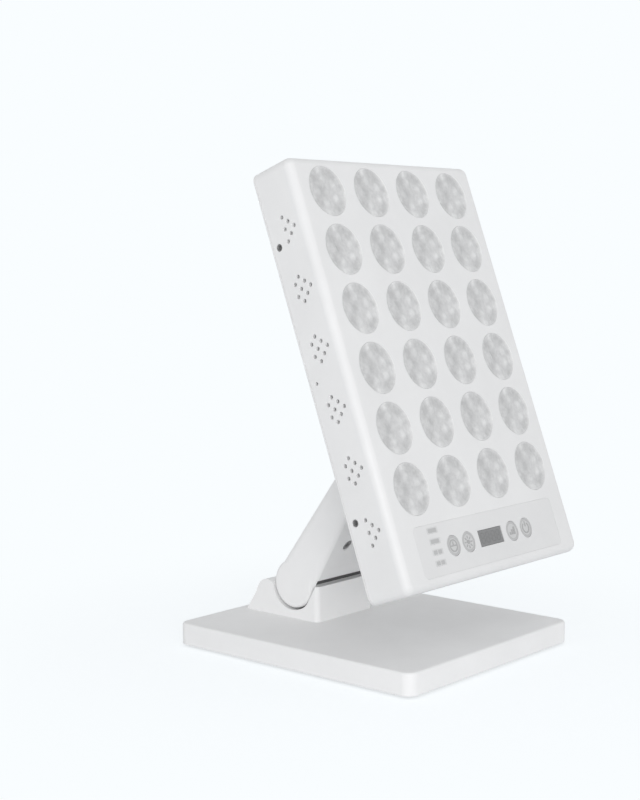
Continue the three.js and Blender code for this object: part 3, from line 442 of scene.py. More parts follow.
class RepeatKit:
    """The Geometry Nodes trees that repeat screws, holes, lenses and blades."""

    def __init__(self) -> None:
        """Builds the three trees."""
        self.scatter = self._scatter_tree()
        self.perforate = self._perforate_tree()
        self.polar = self._polar_tree()

    @staticmethod
    def _closed(sheet: NodeSheet, geometry: Socket, finish: Socket) -> None:
        """Ends a tree: instances are made real and take their material."""
        real = sheet.node("GeometryNodeRealizeInstances", {"Geometry": geometry})
        dressed = sheet.node("GeometryNodeSetMaterial",
                             {"Geometry": real.outputs[0], "Material": finish})
        sheet.node("NodeGroupOutput", {0: dressed.outputs[0]})

    @staticmethod
    def _opened(name: str, inputs: Sequence[tuple[str, str, object]]
                ) -> tuple[NodeSheet, dict[str, Socket]]:
        """Starts a tree with its named inputs.

        Args:
            name: The tree's name.
            inputs: Name, kind and default of each input after the geometry.

        Returns:
            The tree's sheet and its inputs by name.
        """
        sheet = NodeSheet(bpy.data.node_groups.new(name, "GeometryNodeTree"))
        sheet.socket("Geometry", "Geometry")
        for label, kind, default in inputs:
            sheet.socket(label, kind, default)
        sheet.socket("Geometry", "Geometry", output=True)
        entry = sheet.node("NodeGroupInput")
        return sheet, {socket.name: socket for socket in entry.outputs if socket.name}

    def _scatter_tree(self) -> Tree:
        """A piece on every point of a mesh, each turned a little differently about its own axis."""
        sheet, inputs = self._opened("Scatter pieces", [
            ("Piece", "Object", None), ("Facing", "Rotation", None), ("Spin", "Float", 0.0),
            ("Seed", "Int", 1), ("Finish", "Material", None)])
        lowest = sheet.sum("MULTIPLY", inputs["Spin"], -1.0)
        spin = sheet.node("FunctionNodeRandomValue", {
            2: lowest, 3: inputs["Spin"], 8: inputs["Seed"]}, data_type="FLOAT")
        about = sheet.node("ShaderNodeCombineXYZ", {"Z": spin.outputs[1]})
        turn = sheet.node("FunctionNodeEulerToRotation", {0: about.outputs[0]})
        facing = sheet.node("FunctionNodeRotateRotation", {
            0: inputs["Facing"], 1: turn.outputs[0]}, rotation_space="LOCAL")
        piece = sheet.node("GeometryNodeObjectInfo", {0: inputs["Piece"]})
        placed = sheet.node("GeometryNodeInstanceOnPoints", {
            "Points": inputs["Geometry"], "Instance": piece.outputs["Geometry"],
            "Rotation": facing.outputs[0]})
        self._closed(sheet, placed.outputs[0], inputs["Finish"])
        return sheet.tree

    def _perforate_tree(self) -> Tree:
        """Cuts a hole out of a shell at every point of a mesh."""
        sheet, inputs = self._opened("Perforate shell", [
            ("Places", "Object", None), ("Cutter", "Object", None), ("Finish", "Material", None)])
        places = sheet.node("GeometryNodeObjectInfo", {0: inputs["Places"]})
        cutter = sheet.node("GeometryNodeObjectInfo", {0: inputs["Cutter"]})
        holes = sheet.node("GeometryNodeInstanceOnPoints", {
            "Points": places.outputs["Geometry"], "Instance": cutter.outputs["Geometry"]})
        real = sheet.node("GeometryNodeRealizeInstances", {0: holes.outputs[0]})
        cut = sheet.node("GeometryNodeMeshBoolean", {0: inputs["Geometry"], 1: real.outputs[0]},
                         operation="DIFFERENCE", solver="MANIFOLD")
        self._closed(sheet, cut.outputs[0], inputs["Finish"])
        return sheet.tree

    def _polar_tree(self) -> Tree:
        """Repeats a piece round the z axis."""
        sheet, inputs = self._opened("Repeat round axis", [
            ("Count", "Int", 6), ("Finish", "Material", None)])
        start = sheet.node("GeometryNodeMeshLine", {"Count": inputs["Count"], "Offset": (0, 0, 0)})
        number = sheet.node("GeometryNodeInputIndex")
        share = sheet.sum("DIVIDE", number.outputs[0], inputs["Count"])
        about = sheet.node("ShaderNodeCombineXYZ", {"Z": sheet.sum("MULTIPLY", share, FULL_TURN)})
        turn = sheet.node("FunctionNodeEulerToRotation", {0: about.outputs[0]})
        placed = sheet.node("GeometryNodeInstanceOnPoints", {
            "Points": start.outputs[0], "Instance": inputs["Geometry"], "Rotation": turn.outputs[0]})
        self._closed(sheet, placed.outputs[0], inputs["Finish"])
        return sheet.tree

    @staticmethod
    def run(tree: Tree, mesh: Mesh, values: dict[str, object]) -> Solid:
        """Runs a tree on a mesh.

        Args:
            tree: The Geometry Nodes tree.
            mesh: The mesh that goes in.
            values: The tree's inputs by name.

        Returns:
            What comes out, as a plain solid.
        """
        named = {item.name: item.identifier for item in tree.interface.items_tree
                 if item.in_out == "INPUT"}
        inputs = {named[name]: value for name, value in values.items()}
        return Solid(modified(mesh, "NODES", inputs, node_group=tree))

    @staticmethod
    def _points(places: Iterable[Vector]) -> Mesh:
        """A mesh of loose points."""
        mesh = bpy.data.meshes.new("places")
        mesh.from_pydata([tuple(place) for place in places], [], [])
        return mesh

    def scattered(self, piece: Solid, places: Iterable[Vector], facing: tuple = (0, 0, 0),
                  spin: float = 0.0, seed: int = 1) -> Solid:
        """Puts a piece at several places.

        Args:
            piece: The piece, drawn round its own origin.
            places: Where copies go.
            facing: How each copy is turned, as angles about x, y and z.
            spin: The largest random turn about the piece's own z axis.
            seed: The seed of those turns.

        Returns:
            All copies as one solid.
        """
        drawn = lent(piece.mesh)
        made = self.run(self.scatter, self._points(places), {
            "Piece": drawn, "Facing": facing, "Spin": spin, "Seed": seed})
        bpy.data.objects.remove(drawn)
        return made

    def perforated(self, shell: Solid, cutter: Solid, places: Iterable[Vector]) -> Solid:
        """A shell with the same hole cut at several places."""
        points, drawn = lent(self._points(places)), lent(cutter.mesh)
        made = self.run(self.perforate, shell.mesh, {"Places": points, "Cutter": drawn})
        bpy.data.objects.remove(points)
        bpy.data.objects.remove(drawn)
        return made

    def repeated_round(self, piece: Solid, count: int) -> Solid:
        """A piece repeated round its z axis."""
        return self.run(self.polar, piece.mesh, {"Count": count})


# Finishes


class Grain(Enum):
    """Kinds of surface texture."""

    MOULDED = "moulded"
    POWDER = "powder"
    BRUSHED = "brushed"
    GLOSS = "gloss"
    RUBBER = "rubber"


@dataclass(frozen=True)
class GrainRecipe:
    """How a kind of surface texture is made: sizes per metre and heights in metres."""

    scale: float
    height: float
    stretch: tuple[float, float, float] = (1.0, 1.0, 1.0)
    detail: float = 3.0


GRAINS = {
    Grain.MOULDED: GrainRecipe(scale=2600, height=0.000012),
    Grain.POWDER: GrainRecipe(scale=1500, height=0.000035, detail=2.0),
    Grain.BRUSHED: GrainRecipe(scale=900, height=0.000012, stretch=(0.06, 1.6, 1.6)),
    Grain.GLOSS: GrainRecipe(scale=320, height=0.000006, detail=1.0),
    Grain.RUBBER: GrainRecipe(scale=1900, height=0.00006),
}


class ShaderKit:
    """The shader node groups that several finishes share."""

    def __init__(self) -> None:
        """Builds the groups."""
        self.grain = self._grain_group()
        self.handling = self._handling_group()
        self.edges = self._edge_group()

    @staticmethod
    def _group(name: str, inputs: Sequence[tuple[str, str, object]], outputs: Sequence[str]
               ) -> tuple[NodeSheet, Node]:
        """Starts a shader group.

        Args:
            name: The group's name.
            inputs: Name, kind and default of each input.
            outputs: Names of the outputs, which are all single values.

        Returns:
            The group's sheet and its input node.
        """
        sheet = NodeSheet(bpy.data.node_groups.new(name, "ShaderNodeTree"))
        for label, kind, default in inputs:
            sheet.socket(label, kind, default)
        for label in outputs:
            sheet.socket(label, "Float", output=True)
        return sheet, sheet.node("NodeGroupInput")

    def _grain_group(self) -> Tree:
        """Fine texture: the height of the grain, and sparse pits in it."""
        sheet, entry = self._group("Surface grain", [
            ("Vector", "Vector", None), ("Scale", "Float", 2000.0), ("Detail", "Float", 3.0)],
            ["Height", "Pits"])
        vector, scale = entry.outputs["Vector"], entry.outputs["Scale"]
        fine = sheet.noise(vector, scale, entry.outputs["Detail"], Roughness=0.6)
        cells = sheet.node("ShaderNodeTexVoronoi", {
            "Vector": vector, "Scale": sheet.sum("MULTIPLY", scale, 0.4)})
        pits = sheet.ranged(cells.outputs["Distance"], 0.0, 0.16, 1.0, 0.0)
        sheet.node("NodeGroupOutput", {"Height": fine, "Pits": pits})
        return sheet.tree

    def _handling_group(self) -> Tree:
        """Soft clouds of handling and dust, and the long streaks that wiping leaves."""
        sheet, entry = self._group("Handling marks", [
            ("Vector", "Vector", None), ("Scale", "Float", 18.0)], ["Clouds", "Streaks"])
        vector, scale = entry.outputs["Vector"], entry.outputs["Scale"]
        clouds = sheet.ranged(sheet.noise(vector, scale, 5.0, Roughness=0.62), 0.34, 0.68)
        longer = sheet.node("ShaderNodeVectorMath", {0: vector, 1: (2.4, 2.4, 0.3)},
                            operation="MULTIPLY")
        streaks = sheet.noise(longer.outputs[0], scale, 3.0, Distortion=0.4)
        sheet.node("NodeGroupOutput", {"Clouds": clouds, "Streaks": streaks})
        return sheet.tree

    def _edge_group(self) -> Tree:
        """Edges, where handling rubs a finish a little smoother."""
        sheet, entry = self._group("Edge rubbing", [
            ("Vector", "Vector", None), ("Width", "Float", 0.0008), ("Break Up", "Float", 240.0)],
            ["Rubbed"])
        form = sheet.node("ShaderNodeNewGeometry")
        rounded = sheet.node("ShaderNodeBevel", {"Radius": entry.outputs["Width"]}, samples=4)
        agreed = sheet.node("ShaderNodeVectorMath", {
            0: rounded.outputs[0], 1: form.outputs["Normal"]}, operation="DOT_PRODUCT")
        bent = sheet.ranged(agreed.outputs["Value"], 0.99, 0.8)
        broken = sheet.noise(entry.outputs["Vector"], entry.outputs["Break Up"], 3.0)
        sheet.node("NodeGroupOutput", {"Rubbed": sheet.sum("MULTIPLY", bent, broken)})
        return sheet.tree


@dataclass(frozen=True)
class Finish:
    """One finish: its colours, gloss and texture."""

    label: str
    colour: Colour
    deeper: Colour
    roughness: float
    grain: Grain
    metallic: float = 0.0
    coat: float = 0.0
    coat_roughness: float = 0.1
    roughness_spread: float = 0.08
    edge_gloss: float = 0.15
    pits: float = 0.15
    pit_shade: float = 0.8
    bump: float = 0.5

    def material(self, kit: ShaderKit) -> bpy.types.Material:
        """Makes the material, or finds the one made before.

        Args:
            kit: The shared shader groups.

        Returns:
            The material.
        """
        known = bpy.data.materials.get(self.label)
        if known:
            return known
        made = bpy.data.materials.new(self.label)
        made.use_nodes = True
        sheet = NodeSheet(made.node_tree)
        surface = made.node_tree.nodes["Principled BSDF"]
        links = made.node_tree.links
        recipe = GRAINS[self.grain]
        places = sheet.node("ShaderNodeTexCoord").outputs["Object"]
        stretched = sheet.node("ShaderNodeMapping", {"Vector": places, "Scale": recipe.stretch})
        grain = sheet.group(kit.grain, stretched.outputs[0], Scale=recipe.scale, Detail=recipe.detail)
        marks = sheet.group(kit.handling, places)
        edges = sheet.group(kit.edges, places)
        toned = sheet.blend(marks["Clouds"], (*self.colour, 1), (*self.deeper, 1))
        pit = (*[part * self.pit_shade for part in self.deeper], 1)
        pitted = sheet.blend(sheet.sum("MULTIPLY", grain["Pits"], self.pits),
                             self._base(sheet, toned), pit)
        links.new(pitted, surface.inputs["Base Color"])
        rough = sheet.ranged(marks["Streaks"], 0.3, 0.7, self.roughness - self.roughness_spread,
                             self.roughness + self.roughness_spread)
        rubbed = sheet.sum("MULTIPLY_ADD", edges["Rubbed"], -self.edge_gloss, rough, clamp=True)
        links.new(rubbed, surface.inputs["Roughness"])
        bump = sheet.node("ShaderNodeBump", {
            "Strength": self.bump, "Distance": recipe.height, "Height": grain["Height"]})
        links.new(bump.outputs[0], surface.inputs["Normal"])
        surface.inputs["Metallic"].default_value = self.metallic
        surface.inputs["Coat Weight"].default_value = self.coat
        surface.inputs["Coat Roughness"].default_value = self.coat_roughness
        return made

    def _base(self, sheet: NodeSheet, toned: Socket) -> Socket:
        """The colour before pits, which a finish with its own pattern changes."""
        return toned


@dataclass(frozen=True)
class LensFinish(Finish):
    """The optical plastic of the lenses, coloured by the painted highlights and painted shade that each
    lens carries.
    """

    # Ramp colours of the painted light: painted shade, middle and painted highlight. The mottling added
    # on top is random.
    painted_shade: Colour = grey(184)
    middle: Colour = grey(209)
    light: Colour = grey(234)
    mottle: float = 0.15
    mottle_scale: float = 330.0
    clouding: float = 0.12

    def _base(self, sheet: NodeSheet, toned: Socket) -> Socket:
        """The lens's painted highlights and painted shade, with a trace of the plain colour."""
        painted_light = sheet.node("ShaderNodeAttribute", attribute_name="painted_light")
        places = sheet.node("ShaderNodeTexCoord").outputs["Object"]
        cells = sheet.noise(places, self.mottle_scale, 2.0, Roughness=0.6)
        spread = sheet.ranged(cells, 0.3, 0.7, -self.mottle, self.mottle)
        mottled = sheet.sum("ADD", painted_light.outputs["Fac"], spread, clamp=True)
        ramp = sheet.node("ShaderNodeValToRGB", {0: mottled})
        ramp.color_ramp.elements[0].color = (*self.painted_shade, 1)
        ramp.color_ramp.elements[1].color = (*self.light, 1)
        ramp.color_ramp.elements.new(0.45).color = (*self.middle, 1)
        return sheet.blend(self.clouding, ramp.outputs[0], toned)


SHELL = Finish("white_moulded_plastic", grey(233), grey(229), 0.44, Grain.MOULDED)
SHEET = Finish("white_powder_coat", grey(230), grey(225), 0.5, Grain.POWDER, bump=0.6)
STAND_SHELL = Finish("bright_moulded_plastic", grey(242), grey(238), 0.48, Grain.MOULDED)
BASE_SHELL = Finish("satin_moulded_plastic", grey(241), grey(237), 0.6, Grain.MOULDED)
SCREEN = Finish("dust_screen", grey(226), grey(214), 0.8, Grain.POWDER)
# The lenses' colour is painted light: painted highlights and painted shade read from each lens's
# points.
LENS = LensFinish("lens_plastic", grey(210), grey(200), 0.34, Grain.GLOSS, coat=0.15, pits=0.0)
STRIP = Finish("control_strip_film", grey(227), grey(223), 0.5, Grain.MOULDED)
KEY = Finish("key_plastic", grey(208), grey(203), 0.45, Grain.MOULDED)
PRINT = Finish("grey_print", grey(178), grey(170), 0.55, Grain.MOULDED)
RING_PRINT = Finish("pale_grey_print", grey(190), grey(184), 0.55, Grain.MOULDED)
MARK = Finish("mark_window", grey(216), grey(210), 0.4, Grain.GLOSS)
DISPLAY = Finish("smoked_window", grey(132), grey(126), 0.22, Grain.GLOSS, coat=0.4, pits=0.0)
DIGIT = Finish("unlit_segments", grey(112), grey(108), 0.3, Grain.GLOSS, pits=0.0)
BOARD = Finish("white_board", grey(236), grey(226), 0.5, Grain.POWDER)
CIRCUIT = Finish("green_board", (0.03, 0.14, 0.07), (0.02, 0.1, 0.05), 0.4, Grain.GLOSS, coat=0.2)
ALUMINIUM = Finish("extruded_aluminium", grey(188), grey(170), 0.38, Grain.BRUSHED, metallic=1.0)
CASE = Finish("bent_sheet_case", grey(198), grey(184), 0.34, Grain.BRUSHED, metallic=1.0)
STEEL = Finish("plated_steel", grey(186), grey(166), 0.3, Grain.BRUSHED, metallic=1.0)
DARK_STEEL = Finish("blackened_steel", grey(84), grey(70), 0.45, Grain.BRUSHED, metallic=0.7)
BLACK = Finish("black_plastic", grey(44), grey(36), 0.45, Grain.MOULDED)
WHITE_PRINT = Finish("pale_print", grey(214), grey(202), 0.55, Grain.MOULDED)
# Painted shade: a dark grey block set inside the arm's recess, where there is only shade.
PAINTED_SHADE_SEAL = Finish("recess_seal", grey(102), grey(94), 0.75, Grain.RUBBER)
INSERT = Finish("dull_zinc", grey(136), grey(124), 0.6, Grain.BRUSHED, metallic=0.2)
SOCKET_SCREW = Finish("grey_zinc", grey(148), grey(136), 0.5, Grain.BRUSHED, metallic=0.3)
RUBBER = Finish("foot_rubber", grey(52), grey(42), 0.8, Grain.RUBBER, bump=0.8)


# Frames that the pieces are drawn in


@dataclass(frozen=True)
class Rig:
    """Where the sub-assemblies stand at rest, in millimetres."""

    gap: float = 0.3
    hinge_y: float = 55.0
    hinge_z: float = 45.2
    arm_length: float = 141.0
    arm_lean: float = radians(32.85)
    panel_lean: float = radians(20.3)
    standoff: float = 22.1
    hinge_height: float = 117.4
    panel_width: float = 217.0
    panel_height: float = 318.0
    panel_depth: float = 37.0
    rear_cover: float = 1.5

    @property
    def housing_depth(self) -> float:
        """How deep the front housing of the lamp head is."""
        return self.panel_depth - self.rear_cover - self.gap

    @property
    def base(self) -> Matrix:
        """The frame of the base: the origin lies on the table under its middle."""
        return Matrix.Identity(4)

    @property
    def foot(self) -> Matrix:
        """The frame of the hinge foot: the origin lies on the lower hinge."""
        return Matrix.Translation((0, self.hinge_y, self.hinge_z))

    @property
    def arm(self) -> Matrix:
        """The frame of the arm: z runs from the lower to the upper hinge."""
        return self.foot @ Matrix.Rotation(self.arm_lean, 4, "X")

    @property
    def head(self) -> Matrix:
        """The frame of the bracket: the origin lies on the upper hinge."""
        turn = Matrix.Rotation(-self.arm_lean - self.panel_lean, 4, "X")
        return self.arm @ Matrix.Translation((0, 0, self.arm_length)) @ turn

    @property
    def lamp(self) -> Matrix:
        """The frame of the lamp head: the origin is the middle of its front face."""
        up = self.panel_height / 2 - self.hinge_height
        return self.head @ Matrix.Translation((0, -self.standoff - self.panel_depth, up))


class Workbench:
    """Finishes solids and hangs them on the bodies that they move with."""

    def __init__(self) -> None:
        """Makes the shared trees and groups."""
        self.shaders = ShaderKit()
        self.repeat = RepeatKit()
        self.dressed: set[str] = set()
        self.count = 0

    def piece(self, name: str, solid: Solid, place: Matrix, finish: Finish, body: str, slot: str,
              replaces: Sequence[str] = (), sharp: float = 35.0) -> None:
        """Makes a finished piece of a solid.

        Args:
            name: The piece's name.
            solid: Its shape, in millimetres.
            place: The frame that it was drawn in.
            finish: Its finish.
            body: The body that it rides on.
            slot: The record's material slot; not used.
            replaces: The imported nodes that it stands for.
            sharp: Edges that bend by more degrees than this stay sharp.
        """
        # A lens keeps its painted light on its points, so it is not merged flat.
        toned = "painted_light" in solid.mesh.attributes
        mesh = self._shaded(solid.mesh if toned else solid.flattened().mesh,
                            Matrix.Scale(MM, 4) @ place, sharp)
        mesh.name = name
        mesh.materials.clear()
        mesh.materials.append(finish.material(self.shaders))
        made = bpy.data.objects.new(name, mesh)
        bpy.context.scene.collection.objects.link(made)
        if replaces:
            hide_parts(*replaces)
            self.dressed.update(replaces)
        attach(made, body)
        self.count += 1
        LOG.info("%s: %d faces on %s", name, len(mesh.polygons), body)

    @staticmethod
    def _shaded(mesh: Mesh, matrix: Matrix, sharp: float) -> Mesh:
        """A cleaned copy of a mesh in its final place, smooth but for its sharp edges."""
        limit = radians(sharp)
        clean = bpy.data.meshes.new("clean")
        with editing(clean) as sheet:
            sheet.from_mesh(mesh)
            bmesh.ops.remove_doubles(sheet, verts=sheet.verts, dist=SAME_POINT)
            bmesh.ops.dissolve_degenerate(sheet, edges=sheet.edges, dist=SAME_POINT)
            bmesh.ops.transform(sheet, matrix=matrix, verts=sheet.verts)
            for face in sheet.faces:
                face.smooth = True
            for edge in sheet.edges:
                edge.smooth = len(edge.link_faces) == 2 and edge.calc_face_angle(0.0) < limit

        return modified(clean, "WEIGHTED_NORMAL", keep_sharp=True, weight=80)

    def dress(self, nodes: Sequence[str], finish: Finish) -> None:
        """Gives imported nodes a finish."""
        for node in nodes:
            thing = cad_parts[node]
            if thing.material_slots:
                thing.material_slots[0].material = finish.material(self.shaders)
            else:
                thing.data.materials.append(finish.material(self.shaders))
            self.dressed.add(node)
            LOG.info("%s: packed solid, %s", node, finish.label)

    def check(self) -> None:
        """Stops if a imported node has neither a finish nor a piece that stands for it."""
        bare = sorted(set(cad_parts) - self.dressed)
        if bare:
            raise RuntimeError("nodes without a finish: " + ", ".join(bare))
        LOG.info("%d pieces made, %d nodes covered", self.count, len(self.dressed))


# Shapes that several sub-assemblies share


def rounded_bore(axis: Axis, a: float, b: float, radius: float, flare: float, face: float,
                 depth: float, out: float, sides: int = 48) -> Solid:
    """A cutter for a hole whose rim is rounded.

    Args:
        axis: The axis of the hole.
        a: Its place across.
        b: Its place up.
        radius: The hole's radius.
        flare: The radius of its rim's rounding.
        face: Where the face that it enters lies along the axis.
        depth: Where the cutter ends along the axis.
        out: How far it stands out of that face.
        sides: How many faces go round.

    Returns:
        The cutter.
    """
    way = 1.0 if depth > face else -1.0
    rim = [(face + way * along, radius + outward) for along, outward in rounding(flare, 4)]
    profile = [(face - way * out, radius + flare), *rim, (depth, radius)]
    return Solid.turned(axis, a, b, profile, sides)


@dataclass(frozen=True)
class PanScrew:
    """A pan-head screw with a cross recess."""

    radius: float
    height: float
    shank: float
    length: float
    flat_share: float = 0.42
    cross_reach: float = 0.56
    cross_half: float = 0.13
    cross_floor: float = 0.3

    def solid(self) -> Solid:
        """The screw with its head up on the z axis and its seat at the origin."""
        curve = 1 - self.flat_share
        dome = [(self.height * sin(t), self.radius * (self.flat_share + curve * cos(t)))
                for t in quarter(6)[1:]]
        body = Solid.turned(Axis.Z, 0, 0, [
            (-self.length, self.shank), (0, self.shank), (0, self.radius), *dome], 32)
        arm, half = self.radius * self.cross_reach, self.radius * self.cross_half
        cross = [(half, half), (half, arm), (-half, arm), (-half, half), (-arm, half),
                 (-arm, -half), (-half, -half), (-half, -arm), (half, -arm), (half, -half),
                 (arm, -half), (arm, half)]
        return body.minus(Solid.prism(Axis.Z, cross, self.height * self.cross_floor, self.height + 1))


BALLAST_SCREW = PanScrew(radius=3.2, height=1.1, shank=1.4, length=5.0)
BRACKET_SCREW = PanScrew(radius=3.8, height=1.8, shank=1.9, length=4.0)
COVER_SCREW = PanScrew(radius=2.9, height=1.3, shank=1.4, length=4.0)


def hex_piece(radius: float, start: float, end: float) -> Solid:
    """A hexagon along the x axis with its corners turned down at both ends."""
    corner = radius * 0.13
    flat = Solid.prism(Axis.X, circle(0, 0, radius, 6), start, end)
    turned = Solid.turned(Axis.X, 0, 0, [
        (start, radius - corner), (start + corner * 0.6, radius), (end - corner * 0.6, radius),
        (end, radius - corner)])
    return flat.within(turned)


# Sub-assemblies


@dataclass
class SubAssembly:
    """Pieces that belong together. They are drawn in the rig's frames and finished at the bench."""

    rig: Rig
    bench: Workbench


@dataclass
class Base(SubAssembly):
    """The weighted base, its rubber feet and the hinge foot with the trough."""

    width: float = 204.0
    depth: float = 227.0
    top: float = 18.2
    wall: float = 2.5
    corner: float = 9.0
    corner_steps: int = 12
    edge: float = 2.0
    rim: float = 0.6
    lift: float = 1.5
    seat: float = 1.0
    rubber_radius: float = 9.0
    rubber_edge: float = 0.5
    rubber_inset: float = 20.0
    screw_x: float = 70.0
    screw_y: float = 88.0
    foot_width: float = 68.0
    trough: float = 20.7
    front_room: float = 5.3
    front_wall: float = 2.5
    rear_top: float = 6.8
    shoulder: float = 11.0
    shoulder_fullness: float = 0.7
    toe: float = 13.0
    plan_corner: float = 4.5
    slot: float = 1.7
    arm_root: float = 18.4
    arm_head: float = 10.0
    lug_half: float = 9.0
    lug_radius: float = 10.0
    lug_edge: float = 0.4
    pin_radius: float = 5.0
    foot_round: float = 1.4
    foot_round_above: float = 50.0

    def build(self) -> None:
        """Makes every piece of the base."""
        self._cover()
        self._rubber_feet()
        self._hinge_foot()
        self.bench.dress(["base_weight"], DARK_STEEL)
        self.bench.dress(["lean_washer_left", "lean_washer_right"], STEEL)
        self._screws()

    def _plan(self, inset: float) -> Outline:
        """The base's plan, drawn in on all sides."""
        return rounded_rectangle(0, 0, self.width - 2 * inset, self.depth - 2 * inset,
                                 self.corner - min(inset, self.corner / 2), self.corner_steps)

    def _cover(self) -> None:
        """Makes the moulded cover with its softly rounded top edge."""
        low = [(self.lift + up, self._plan(inset)) for inset, up in rounding(self.rim, 6)]
        high = [(self.top - down, self._plan(inset)) for inset, down in rounding(self.edge, 6)]
        outside = Solid.loft(Axis.Z, [*low[-2::-1], *high])
        inside = Solid.prism(Axis.Z, self._plan(self.wall), self.lift - OVERRUN, self.top - self.wall)
        self.bench.piece("base_cover_shell", outside.minus(inside), self.rig.base, BASE_SHELL,
                         "base", "white_shell", ["base_cover"])

    def _rubber_feet(self) -> None:
        """Makes the four rubber feet."""
        top = self.lift + self.seat - self.rig.gap
        foot = Solid.cylinder(Axis.Z, 0, 0, self.rubber_radius, 0, top, 40, edge=self.rubber_edge)
        places = [Vector((x, y, 0)) for x, y in corners(self.width / 2 - self.rubber_inset,
                                                        self.depth / 2 - self.rubber_inset)]
        names = ["rubber_foot_" + end + side for end in ("front_", "rear_")
                 for side in ("left", "right")]
        self.bench.piece("rubber_feet", self.bench.repeat.scattered(foot, places), self.rig.base,
                         RUBBER, "base", "rubber_foot", names)

    def _screws(self) -> None:
        """Makes the screws that hold the ballast plate, seen from below."""
        places = [Vector((x, y, self.lift - SCREW_LIFT))
                  for x, y in corners(self.screw_x, self.screw_y)]
        solid = self.bench.repeat.scattered(BALLAST_SCREW.solid(), places, (HALF_TURN, 0, 0),
                                            QUARTER_TURN, 3)
        self.bench.piece("base_screws", solid, self.rig.base, STEEL, "base", "steel")

    def _profile(self) -> Outline:
        """The hinge foot from its side, as y and z from the lower hinge."""
        taper = asin((self.arm_root - self.arm_head) / self.rig.arm_length)
        normal = HALF_TURN + self.rig.arm_lean - taper
        away = self.arm_root + self.slot
        start = normal + acos(away / self.trough)
        bottom = self.top - self.rig.hinge_z - OVERRUN
        front = -self.trough - self.front_room
        inner = front + self.front_wall
        top = (away - inner * cos(normal)) / sin(normal)
        rear_top = self.trough + self.rear_top
        rear = rear_top + self.shoulder + self.toe
        ends = [(rear_top + self.shoulder, -self.shoulder),
                (rear_top + self.shoulder * self.shoulder_fullness, 0.0), (rear_top, 0.0)]
        bend = []
        steps = 12
        for i in range(steps + 1):
            t = i / steps
            weights = ((1 - t) ** 2, 2 * t * (1 - t), t * t)
            bend.append((sum(w * p[0] for w, p in zip(weights, ends)),
                         sum(w * p[1] for w, p in zip(weights, ends))))
        return [(front, bottom), (rear, bottom), *bend,
                *arc(0, 0, self.trough, FULL_TURN, start, 36)[1:], (inner, top), (front, top)]

    def _hinge_foot(self) -> None:
        """Makes the foot with its trough and the lug that the pin passes."""
        half, lug_half = self.foot_width / 2, self.lug_half
        outline = self._profile()
        ys = [y for y, _ in outline]
        front, rear = min(ys), max(ys)
        bottom = min(z for _, z in outline)
        plan = rounded_rectangle(0, (front + rear) / 2, self.foot_width, rear - front,
                                 self.plan_corner, 10)
        body = Solid.prism(Axis.X, outline, -half, half)
        plan_body = Solid.prism(Axis.Z, plan, bottom - OVERRUN, self.trough)
        seat = self.top - self.rig.hinge_z
        rounded = body.within(plan_body).flattened()
        rounded = rounded.softened(self.foot_round, 5, self.foot_round_above)
        rounded = rounded.minus(Solid.block(-half - OVERRUN, half + OVERRUN, front - OVERRUN,
                                            rear + OVERRUN, bottom - OVERRUN, seat))
        lug = Solid.cylinder(Axis.X, 0, 0, self.lug_radius, -lug_half, lug_half, edge=self.lug_edge)
        web = Solid.block(-lug_half, lug_half, -self.lug_radius, self.lug_radius, seat + WELD, 0)
        bore = Solid.cylinder(Axis.X, 0, 0, self.pin_radius + self.rig.gap, -lug_half - OVERRUN,
                              lug_half + OVERRUN)
        self.bench.piece("hinge_foot_shell", rounded.plus(lug, web).minus(bore), self.rig.foot,
                         STAND_SHELL, "base", "white_shell", ["hinge_foot"])


